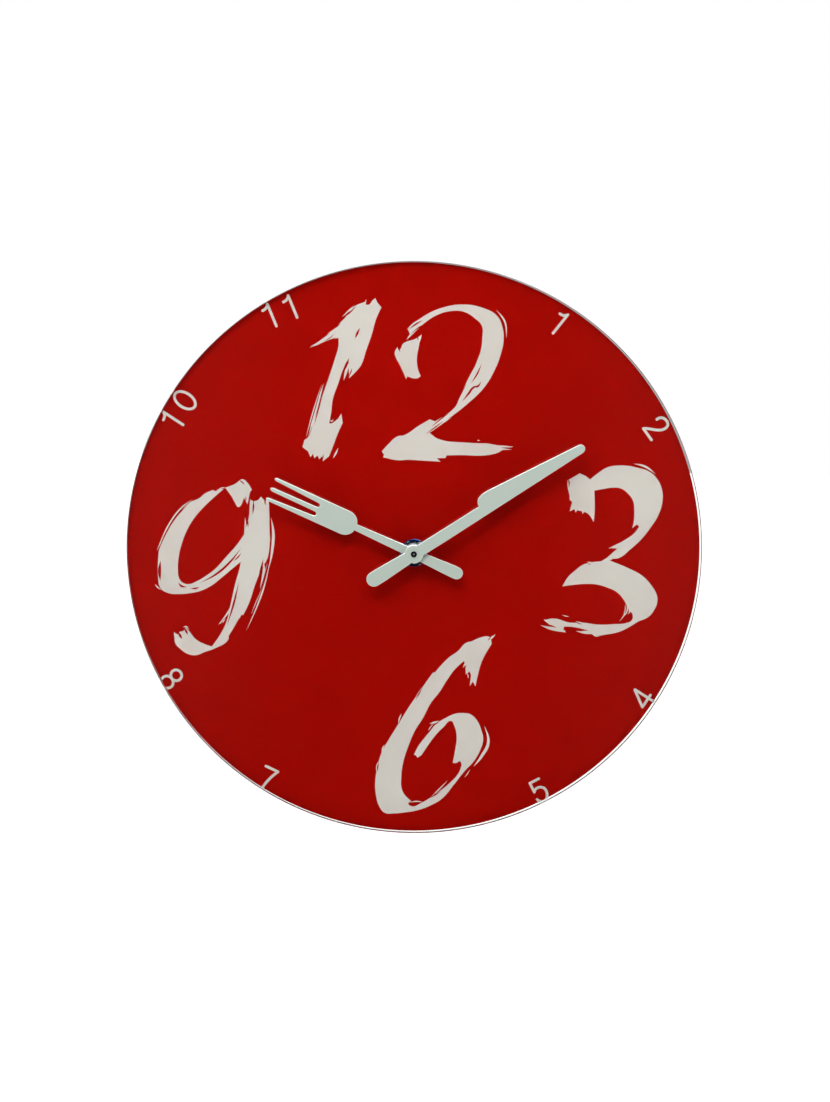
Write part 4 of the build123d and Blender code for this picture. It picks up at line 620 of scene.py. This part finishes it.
# %% The 3
brushed(
    "3",
    strokes=[
        """79,41* 84.5,44.5* 88,43 90,41.5* 94,45 99,48.3 104,49.3 110,49.3 114,48.6 120,47 124.5,43.5
        127.5,38 128.2,32 126.5,24.5 122,16.5 118,11 113,6 107,1 104,0.5* 102.5,-0.5* 112,-4 120,-8
        125,-13 128,-18 128.3,-21.5 127,-25.5 124,-29.5 119,-32* 113,-36 109,-38 103,-39.5 97,-40.3
        93,-39* 87,-38.7* 93,-37.8* 85,-36.3 80.5,-36.2* 81,-39.2* 72,-37.8 68.5,-36.2* 74,-36.7*
        69.5,-33.2* 75,-32.2 83,-34 90,-33.8 98,-34.5 106,-34 113,-33 115.5,-31.5 115.8,-28.5
        114.8,-27* 113.3,-28.5* 113,-25* 111.5,-22 107,-17 102,-14.8 96,-13.3 90,-13.3 84,-14
        78.3,-15* 81,-10 85,-6 88,-3.5 92,-2 98,-1* 101,1* 103,3* 106,6* 102,6* 108,9.5 115,15
        116.8,18* 115.5,19* 113.2,17* 113.8,20 113.8,26 113,31 110,35 106,37.5 102,37.7 97,36.8
        92.5,35.8* 93,30 93.2,24 93,19.5* 90,23.5 87.8,24.6* 87,23.4* 86.6,24.9* 84,25.2* 83.4,24*
        82.6,25.8* 80.3,24.6* 81.3,29.5* 80,30.5* 79.5,36""",
    ],
    stray=[
        ("78.4,41 78.9,37.5 79.9,32.6", 0.6),
        ("112,50.6 118,49.4 124,45.6", 0.9),
        ("108.9,-32.6 111.4,-28.6 111.7,-22.6", 0.5),
        ("110.6,-30.4 112.7,-27 112.4,-23", 0.5),
        ("78.8,-30.2 80.6,-30.6 82.8,-31", 0.35),
        ("67.8,-36 73,-37.5 81.6,-39.4", 1.2),
        ("69.3,-32.8 73,-34.4 78,-35.6", 1.1),
        ("86.6,-38.4 91,-39.1 96,-39.6", 0.9),
        ("86,-33.2 89,-33.9 93,-34.3", 0.5),
        ("101.2,5.8 105,7.4 109,10", 0.8),
        ("90.5,-1.6 92.5,-2 95,-2.4", 0.6),
        ("95,-39.6 97,-40.6 99.5,-40.4", 0.5),
    ],
    bare=[
        ("79.4,40.8 79.3,39 79,36.8", 0.4),
        ("113.6,49.3 118,48.3 122,46.4", 0.5),
        ("86.2,-33.6 87.6,-34.2 89.6,-34.7", 0.35),
        ("71,-35.2 73.6,-36.1 76.4,-37", 0.5),
        ("68.8,-34.2 70,-34.6 71.6,-34.8", 0.4),
        ("80,-36.4 86,-37.4 93,-38", 0.8),
        ("80.2,-38.6 80.5,-37.4 80.4,-36", 0.7),
        ("91,-2.3 91.8,-2.7 92.8,-2.8", 0.3),
        ("112,-29.8 113.4,-27.6 113.4,-24.8", 0.4),
    ],
)

# %% The 6
brushed(
    "6",
    strokes=[
        """42,-43.5* 40,-43 36,-44 32,-46* 29,-47 25,-51.5 20.5,-55 16,-60 13.4,-63.3* 12.4,-63.4*
        10,-67 5,-75 0,-83 -5,-92 -10,-101 -13,-107 -15,-115 -16,-123 -15.3,-131 -13.5,-136.5
        -10.5,-140 -5,-140.2 0,-139.5 7,-138 14,-135 20,-131 26,-123 31,-116 36,-110 39,-104
        40.3,-98 39,-93 36.5,-88 33,-85 30,-84.5 25,-85 20,-87.5 15,-91 12,-95 9,-99 6,-103.5
        4,-108* 5,-108.2* 6,-109.5* 8,-108* 11,-103 15,-97 19,-92.5 23,-89 24.5,-91 26.2,-97 25.8,-104
        24.7,-111.6* 26.6,-111.6* 28.6,-110.6 29.5,-112.6* 28,-117 24,-122 18,-127.5 12,-132 8,-134.5
        4.5,-136 2,-134.5 3.6,-133.3* 0,-130 -1.7,-127 -2.3,-120 -1.5,-112 1,-103 4,-95 8,-88
        12,-79.5 16,-74 20,-67 24,-61 28.5,-56.5* 29.4,-60.5* 29.7,-63.8* 31.6,-62* 32.5,-64*
        32,-69.8* 33.6,-67.4* 35,-69.9* 36,-64 38,-56 42.6,-46.8*""",
    ],
    stray=[
        ("44.4,-41.8 42.6,-43.5 40.4,-45.6", 0.9),
        ("3,-79 5,-75.3 7.2,-71.2", 0.7),
        ("-4.9,-91.6 -4.3,-88.6 -3.4,-86", 0.7),
        ("40.6,-90.6 43.1,-99.5 39.6,-107.8 35.8,-113.2", 1.2),
        ("31.2,-119.4 32.8,-117 34.2,-114.4", 0.35),
        ("11.6,-91 14,-90.2 16.8,-89.2", 0.9),
        ("11,-94.6 12.4,-92.6 13.6,-91", 0.5),
        ("13.8,-130.6 18,-126.2 22.6,-121", 0.5),
        ("28,-60.4 28.8,-58.6 29.6,-57", 0.5),
        ("31,-66 30.9,-64.4 30.4,-62.8", 0.4),
        ("-13.2,-107.4 -12.6,-105 -11.6,-103", 0.6),
        ("-15.6,-118 -15.4,-115 -14.6,-112", 0.6),
        ("2.4,-134 6,-133.2 10.4,-133.6", 0.5),
    ],
    bare=[
        ("42.3,-43 41.3,-44.2 40.4,-45.4", 0.35),
        ("3.8,-78.4 5.3,-75.2 7.4,-71.4", 0.5),
        ("-4.5,-91.6 -3.9,-89 -2.9,-86.4", 0.4),
        ("-14.9,-118 -15,-115.4 -14.4,-112.6", 0.5),
        ("11.2,-95 13.4,-92 17,-89.8", 0.45),
        ("31.6,-115.6 32.8,-114.8 34,-114", 0.3),
        ("13.4,-131 16,-129.4 19,-127.2", 0.35),
        ("40.9,-94.6 41.1,-101.4 36.4,-110.8", 0.8),
        ("28.9,-60.6 29.4,-59.6 29.8,-58.4", 0.3),
    ],
)

# %% The 9
brushed(
    "9",
    strokes=[
        """-100.3,29.4* -103,29.2* -104.4,28* -106,28.6* -110,26.6 -113,24 -118,21.5 -123,16
        -127.5,10 -131,4 -133,-2 -133.8,-10 -133.6,-18 -132.2,-24 -128,-26.5 -122,-26.8 -116,-26
        -112,-25 -106,-22 -100,-17 -95,-12.5 -90.5,-8.5* -91,-12 -93,-20 -95,-30 -97,-40 -100,-47
        -104.5,-54* -108,-53 -113,-50.5 -117,-46 -118.6,-44.6* -119.8,-46.4* -121.6,-46.8*
        -122.6,-48.4* -124.2,-47.4* -123.8,-53 -121,-56 -117,-58.5 -113,-59 -108,-57 -103,-55
        -96,-50 -95.8,-48* -93,-43 -89.6,-36.4* -88.4,-36.6* -85.5,-30 -82.5,-20 -79.5,-12 -76.5,-6
        -75.6,1 -75.5,6 -76,14 -76.5,22* -77,25.8* -78.4,23.6* -80.8,26* -82.2,24.2* -84.6,23.4*
        -86,24.2* -86.5,18 -87.5,12 -89,8* -89,6* -93,0 -98,-6 -104,-13 -109,-17 -113,-19.5
        -117,-21.3 -120,-21 -122.5,-18.5 -123.3,-14 -123,-7 -121.5,0 -119,7 -115,14 -110,20
        -104,26""",
        """-99.5,30* -94,32.5 -92,34.2 -90.6,34.8 -88,33 -85.6,29.6* -86.6,28.2* -87.2,25 -88,22.2*
        -89.6,25.2* -91.6,20.6 -92.6,20.2 -94,22 -96,25.5*""",
    ],
    stray=[
        ("-116.6,23.2 -122.2,18.6 -128.2,10.2 -131.9,2 -134.8,-5", 0.6),
        ("-135.2,-22 -133.8,-23.6 -131.4,-25", 0.6),
        ("-103.6,28.6 -101.4,29.8 -99.2,30", 0.5),
        ("-75.3,15.4 -73.9,8 -74.2,-2 -75.6,-11.4", 1.1),
        ("-74.9,-6 -77.6,-20 -81.2,-31.4 -86.6,-45", 0.6),
        ("-76.4,-8 -79.4,-22 -84.4,-36.4", 0.6),
        ("-78.4,-8 -78.2,-14 -80,-23", 1.4),
        ("-91.8,-20.6 -95,-33 -101.6,-42.6", 1.0),
        ("-97.6,-38.6 -99.6,-41 -101.2,-41.8", 0.7),
        ("-88.8,15 -88.6,11 -89,7.6", 0.6),
        ("-86.4,25 -86.2,20 -86.6,13.4", 0.7),
        ("-87,26.4 -87.6,24 -87.8,21.6", 0.5),
        ("-124.6,-46.8 -123.9,-49.6 -122.8,-51.4", 0.8),
        ("-120,-44.4 -118.4,-44 -116.6,-45.8", 0.6),
        ("-89,-36.4 -90.2,-37.4 -90.4,-38.8", 0.5),
    ],
    bare=[
        ("-117.8,21.6 -126.2,11.8 -131.2,2.4 -133.6,-4.4", 0.45),
        ("-132.5,-9.4 -132.9,-15 -132.4,-20.4", 1.2),
        ("-134.4,-22 -133,-23.6 -131.4,-24.6", 0.35),
        ("-122.9,-20.6 -121.5,-22.4 -118.2,-23", 0.7),
        ("-116.6,-23.7 -114,-23.5 -111.6,-22.8", 0.6),
        ("-111.4,-20.5 -103,-15.4 -96,-8.8 -90.5,-1.4", 0.7),
        ("-94.4,-8.3 -92.2,-6.4 -90.3,-3.8", 0.5),
        ("-92.4,34.2 -91,33.4 -89.2,31.8", 0.45),
        ("-84.7,24.6 -84.6,20 -84.9,16.4", 0.6),
        ("-78.7,25.8 -78.6,23.4 -78.3,21.4", 0.5),
        ("-87.6,14.6 -87.3,12 -87,9.4", 0.45),
        ("-76.1,14.6 -75.5,9 -75.5,4.4", 0.5),
        ("-74.9,0 -75.3,-5 -76,-11", 0.35),
        ("-78.7,-6.4 -79.8,-13 -81.2,-20", 0.9),
        ("-91.2,-19.4 -93.4,-30 -96.8,-42.6", 0.7),
        ("-76.6,-9.6 -78.6,-19 -82.4,-31", 0.5),
        ("-122.6,-46.6 -121.3,-49 -120.3,-50.7", 0.9),
        ("-119.6,-44.4 -118.3,-46.3 -117.3,-48.3", 0.8),
        ("-98.8,-40.2 -100,-41.6 -101,-42.6", 0.4),
        ("-88.8,23 -88.6,24.6 -88.9,26", 0.35),
    ],
)
give(white_ink, "small_numerals")

# %% [markdown]
# ## The cutlery
#
# The hands are stamped from thin sheet: the flat face is satin, and the rounded rim is a little
# smoother and is given a much lighter colour, a painted highlight for the bright line of light it
# catches. The outlines are the engineering ones, and the rim is a small round bevel made by the
# curve itself, cut back first so the outline stays true.

# %% Hand metal
HAND_RIM = 0.32
FLAT_FACE = 0.97

hand_metal = Finish("satin hand metal", (0.43, 0.495, 0.44), 0.38, Metallic=0.25)
grain = hand_metal.noise(2200, 2)
hand_metal.shades(hand_metal.noise(40, 3), (0.42, 0.485, 0.43), (0.44, 0.505, 0.45))
hand_metal.polish(grain, 0.34, 0.44)
hand_metal.bumps(grain, 0.000004, 0.5)

# The rim's light colour is a painted highlight: it stands for the light the rounded rim catches.
rim_painted_highlight = Finish("hand rim painted highlight", (0.80, 0.85, 0.80), 0.25, Metallic=0.2).uneven(300, 0.05)


def paint_rim_highlight(mesh):
    """Gives the rounded rim of a hand its much lighter colour, a painted highlight."""
    mesh.materials.append(rim_painted_highlight.material)
    for face in mesh.polygons:
        if abs(face.normal.y) < FLAT_FACE:
            face.material_index = 1


def turn_to(mesh, clock_angle):
    """Turns a mesh drawn along +x so that it points at a clock angle, in degrees from 12."""
    mesh.transform(Matrix.Rotation(radians(clock_angle - 90), 4, "Y"))
    return mesh


def arc(centre, radius, start, end, steps):
    """Points of an arc, as smooth outline points."""
    points = []
    for n in range(steps + 1):
        turn = radians(start + (end - start) * n / steps)
        points.append((centre[0] + radius * cos(turn), centre[1] + radius * sin(turn), False))
    return points


def corner(x, y):
    """A sharp outline point."""
    return (x, y, True)


# %% The knife
MINUTE_ANGLE = 55.7
knife_back, knife_front = depth_range("minute_hand")
knife_outline = (
    [corner(41.5, 3.15), corner(4.1, 3.05)]
    + arc((0, 0), 4.8, 40, 140, 6)
    + [corner(-4.3, 3.2)]
    + arc((-24.5, 0), 3.8, 96, 264, 8)
    + [corner(-4.3, -3.2)]
    + arc((0, 0), 4.8, 220, 320, 6)
    + [corner(4.1, -3.02), corner(19, -3.0), corner(101.0, -1.78)]
    + arc((101.4, 0.55), 2.25, -70, 60, 5)
    + [corner(101.6, 2.8), corner(49.5, 7.85), (45.6, 7.6, False), (43.2, 6.6, False), (42.0, 5.0, False)]
)
knife_hole = arc((0, 0), 2.1, 0, 330, 11)
knife = flat_mesh("knife", [knife_outline, knife_hole], knife_back, knife_front, HAND_RIM)
smooth_by_angle(turn_to(knife, MINUTE_ANGLE), 40)
add_piece("knife_hand", knife, "minute_hand_set", hand_metal, ["minute_hand"])
paint_rim_highlight(knife)
print("knife:", len(knife.polygons), "faces")

# %% The fork
HOUR_ANGLE = 292.4
fork_back, fork_front = depth_range("hour_hand")

FORK_HALF, SLOT_BASE, SLOT_HALF, SLOT_BOTTOM = 6.4, 2.4, 1.05, 55.6
TINE_CORNER, TINE_TIP = 79.9, 81.4


def tip(y, half):
    """The rounded end of one tine, from its lower to its upper corner."""
    return [
        corner(TINE_CORNER + (0.5 if y < 0 else 0), y - half),
        (TINE_TIP - 0.2, y - half * 0.5, False),
        (TINE_TIP, y, False),
        (TINE_TIP - 0.2, y + half * 0.5, False),
        corner(TINE_CORNER + (0.5 if y > 0 else 0), y + half),
    ]


fork_outline = (
    [corner(4.2, 2.3)]
    + arc((0, 0), 4.8, 38, 142, 6)
    + [corner(-4.2, 2.45)]
    + arc((-24.4, 0), 3.15, 94, 266, 8)
    + [corner(-4.2, -2.45)]
    + arc((0, 0), 4.8, 218, 322, 6)
    + [corner(4.2, -2.3), corner(32.9, -1.68)]
    + arc((39.2, 0), FORK_HALF, 194, 268, 6)
    + [corner(39.6, -FORK_HALF)]
    + tip(-5.56, 0.84)
    + arc((SLOT_BOTTOM, -SLOT_BASE), SLOT_HALF, 270, 90, 6)
    + tip(0, 0.98)
    + arc((SLOT_BOTTOM, SLOT_BASE), SLOT_HALF, 270, 90, 6)
    + tip(5.56, 0.84)
    + [corner(39.6, FORK_HALF)]
    + arc((39.2, 0), FORK_HALF, 92, 166, 6)
    + [corner(32.9, 1.68)]
)
fork_hole = arc((0, 0), 3.0, 0, 330, 11)
fork = flat_mesh("fork", [fork_outline, fork_hole], fork_back, fork_front, HAND_RIM)
smooth_by_angle(turn_to(fork, HOUR_ANGLE), 40)
add_piece("fork_hand", fork, "hour_hand_set", hand_metal, ["hour_hand"])
paint_rim_highlight(fork)
print("fork:", len(fork.polygons), "faces")

# %% [markdown]
# ## Turned metal at the hub
#
# The nut and its washer are zinc plated and bright. The washer's deep blue is a painted reflection,
# put into its colour for the blue light it mirrors, and the nut's pale blue is partly the zinc's own
# tint and partly painted reflection. The bush and the fork's collet are turned brass; the knife's
# collet is the same pale metal as the hands. Turning leaves faint rings about the axis, so the bumps
# of these finishes follow the distance from the axis.

# %% Metals
def rings(finish, pitch, height):
    """Fine lathe rings about the axis of the hands. pitch and height are in metres."""
    wave = finish.nodes.new("ShaderNodeTexWave")
    wave.wave_type = "RINGS"
    wave.rings_direction = "Y"
    wave.inputs["Scale"].default_value = 0.05 / pitch
    wave.inputs["Distortion"].default_value = 0.6
    finish.links.new(finish.place, wave.inputs["Vector"])
    return finish.bumps(wave.outputs["Fac"], height, 0.4)


# Pale blue tint: partly the zinc's own colour, partly a painted reflection of blue light.
zinc = Finish("zinc with painted blue tint", (0.66, 0.72, 0.84), 0.12, Metallic=1.0)
zinc.polish(zinc.noise(700), 0.08, 0.18)
rings(zinc, 0.0002, 0.000002)
give(zinc, "fixing_nut", "quartz_crystal")

# Deep blue colour: a painted reflection of blue light, not the plating's own colour.
blue_reflection_zinc = Finish("zinc with painted blue reflection", (0.05, 0.13, 0.42), 0.16, Metallic=1.0).uneven(500, 0.15)
rings(blue_reflection_zinc, 0.0002, 0.000002)
give(blue_reflection_zinc, "dial_washer")

brass = Finish("turned brass", (0.72, 0.5, 0.22), 0.25, Metallic=1.0).uneven(500, 0.06)
rings(brass, 0.00025, 0.000004)
give(brass, "threaded_bush", "hour_hand_collet")
give(hand_metal, "minute_hand_collet")

steel = Finish("turned steel", (0.62, 0.62, 0.61), 0.22, Metallic=1.0).uneven(400, 0.05)
rings(steel, 0.0002, 0.000003)
give(steel, "seconds_arbor", "battery_can", "battery_end")

soft_iron = Finish("stamped iron", (0.46, 0.46, 0.47), 0.42, Metallic=1.0).uneven(250, 0.1)
soft_iron.bumps(soft_iron.noise(1500), 0.00001, 0.4)
give(soft_iron, "stator", "coil_core")

spring = Finish("nickelled spring strip", (0.68, 0.68, 0.65), 0.3, Metallic=1.0).uneven(300, 0.06)
spring.polish(spring.noise(400, along=spring.stretched((1, 1, 12))), 0.22, 0.4)
give(spring, "contact_positive", "contact_negative", "clutch_spring")

magnet = Finish("sintered magnet", (0.09, 0.09, 0.1), 0.5, Metallic=0.6).uneven(900, 0.2)
give(magnet, "rotor_magnet")

copper = Finish("enamelled copper", (0.62, 0.25, 0.1), 0.28, Metallic=0.9, Coat_Weight=0.5)
turns = copper.nodes.new("ShaderNodeTexWave")
turns.bands_direction = "X"
turns.inputs["Scale"].default_value = 900
turns.inputs["Distortion"].default_value = 1.5
copper.links.new(copper.place, turns.inputs["Vector"])
copper.bumps(turns.outputs["Fac"], 0.00004, 0.8)
copper.shades(turns.outputs["Fac"], (0.4, 0.13, 0.05), (0.7, 0.3, 0.13), 0.1, 0.9)
give(copper, "coil_winding", "coil_leads")

# %% [markdown]
# ## Moulded plastic
#
# The movement's case is black polystyrene with a fine spark-eroded grain that the mould leaves
# on the outside. The wheels and the reel are natural acetal, which is milky and lets a little
# light in. The tube that carries the knife is black and glossy.

# %% Plastics
case_black = Finish("black case moulding", (0.016, 0.016, 0.018), 0.5).uneven(700, 0.25)
case_black.bumps(case_black.noise(4500, 2), 0.00003, 0.5)
case_black.polish(case_black.noise(1500), 0.42, 0.6)
give(case_black, "front_case", "rear_case", "setting_knob", "battery_insulator")

acetal = Finish("natural acetal", (0.8, 0.78, 0.69), 0.35, Subsurface_Weight=0.15, Subsurface_Scale=0.001)
acetal.uneven(400, 0.03)
acetal.bumps(acetal.noise(2500), 0.00001, 0.3)
give(acetal, "middle_plate", "setting_pinion", "motion_wheel", "hour_wheel", "centre_wheel",
     "third_wheel", "seconds_wheel", "intermediate_wheel", "rotor_pinion", "coil_bobbin")

tube_black = Finish("black tube moulding", (0.012, 0.012, 0.014), 0.22).uneven(900, 0.2)
tube_black.bumps(tube_black.noise(2500), 0.000006, 0.4)
give(tube_black, "minute_arbor")

rubber = Finish("washer rubber", (0.02, 0.02, 0.02), 0.75).uneven(600, 0.3)
rubber.bumps(rubber.noise(2200, 4), 0.00003, 0.6)
give(rubber, "rubber_washer")

board = Finish("paper resin board", (0.42, 0.27, 0.11), 0.5).uneven(350, 0.12)
board.bumps(board.noise(900, along=board.stretched((1, 1, 6))), 0.00001, 0.5)
give(board, "circuit_board")

resin = Finish("black potting resin", (0.01, 0.01, 0.011), 0.14).uneven(500, 0.2)
resin.bumps(resin.noise(250), 0.00003, 0.5)
give(resin, "clock_chip")

# %% [markdown]
# ## The cell
#
# One AA cell lies in the open bay at the back. Its printed film is dark with a wide band in
# another colour towards the positive end, and it is shrunk on tight, so it is smooth and glossy.

# %% Cell film
film = Finish("cell film", (0.03, 0.035, 0.045), 0.25, Coat_Weight=0.6, Coat_Roughness=0.1)
low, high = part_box("battery_sleeve")
along = film.nodes.new("ShaderNodeSeparateXYZ")
film.links.new(film.place, along.inputs[0])
share = film.nodes.new("ShaderNodeMapRange")
share.inputs["From Min"].default_value = low[0]
share.inputs["From Max"].default_value = high[0]
film.links.new(along.outputs["X"], share.inputs["Value"])
film.shades(share.outputs[0], (0.03, 0.035, 0.045), (0.62, 0.42, 0.16), 0.70, 0.705)
film.polish(film.noise(300), 0.2, 0.32)
give(film, "battery_sleeve")

# %% [markdown]
# ## Smooth surfaces
#
# The frame's meshes are made of flat facets. Shading them smooth, with sharp edges kept, makes
# round pieces look round without moving a single vertex.

# %% Shade the frame's own meshes smooth
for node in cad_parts.values():
    mesh = node.data
    mesh.shade_smooth()
    mesh.set_sharp_from_angle(angle=radians(25))
print("shaded", len(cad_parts), "nodes")
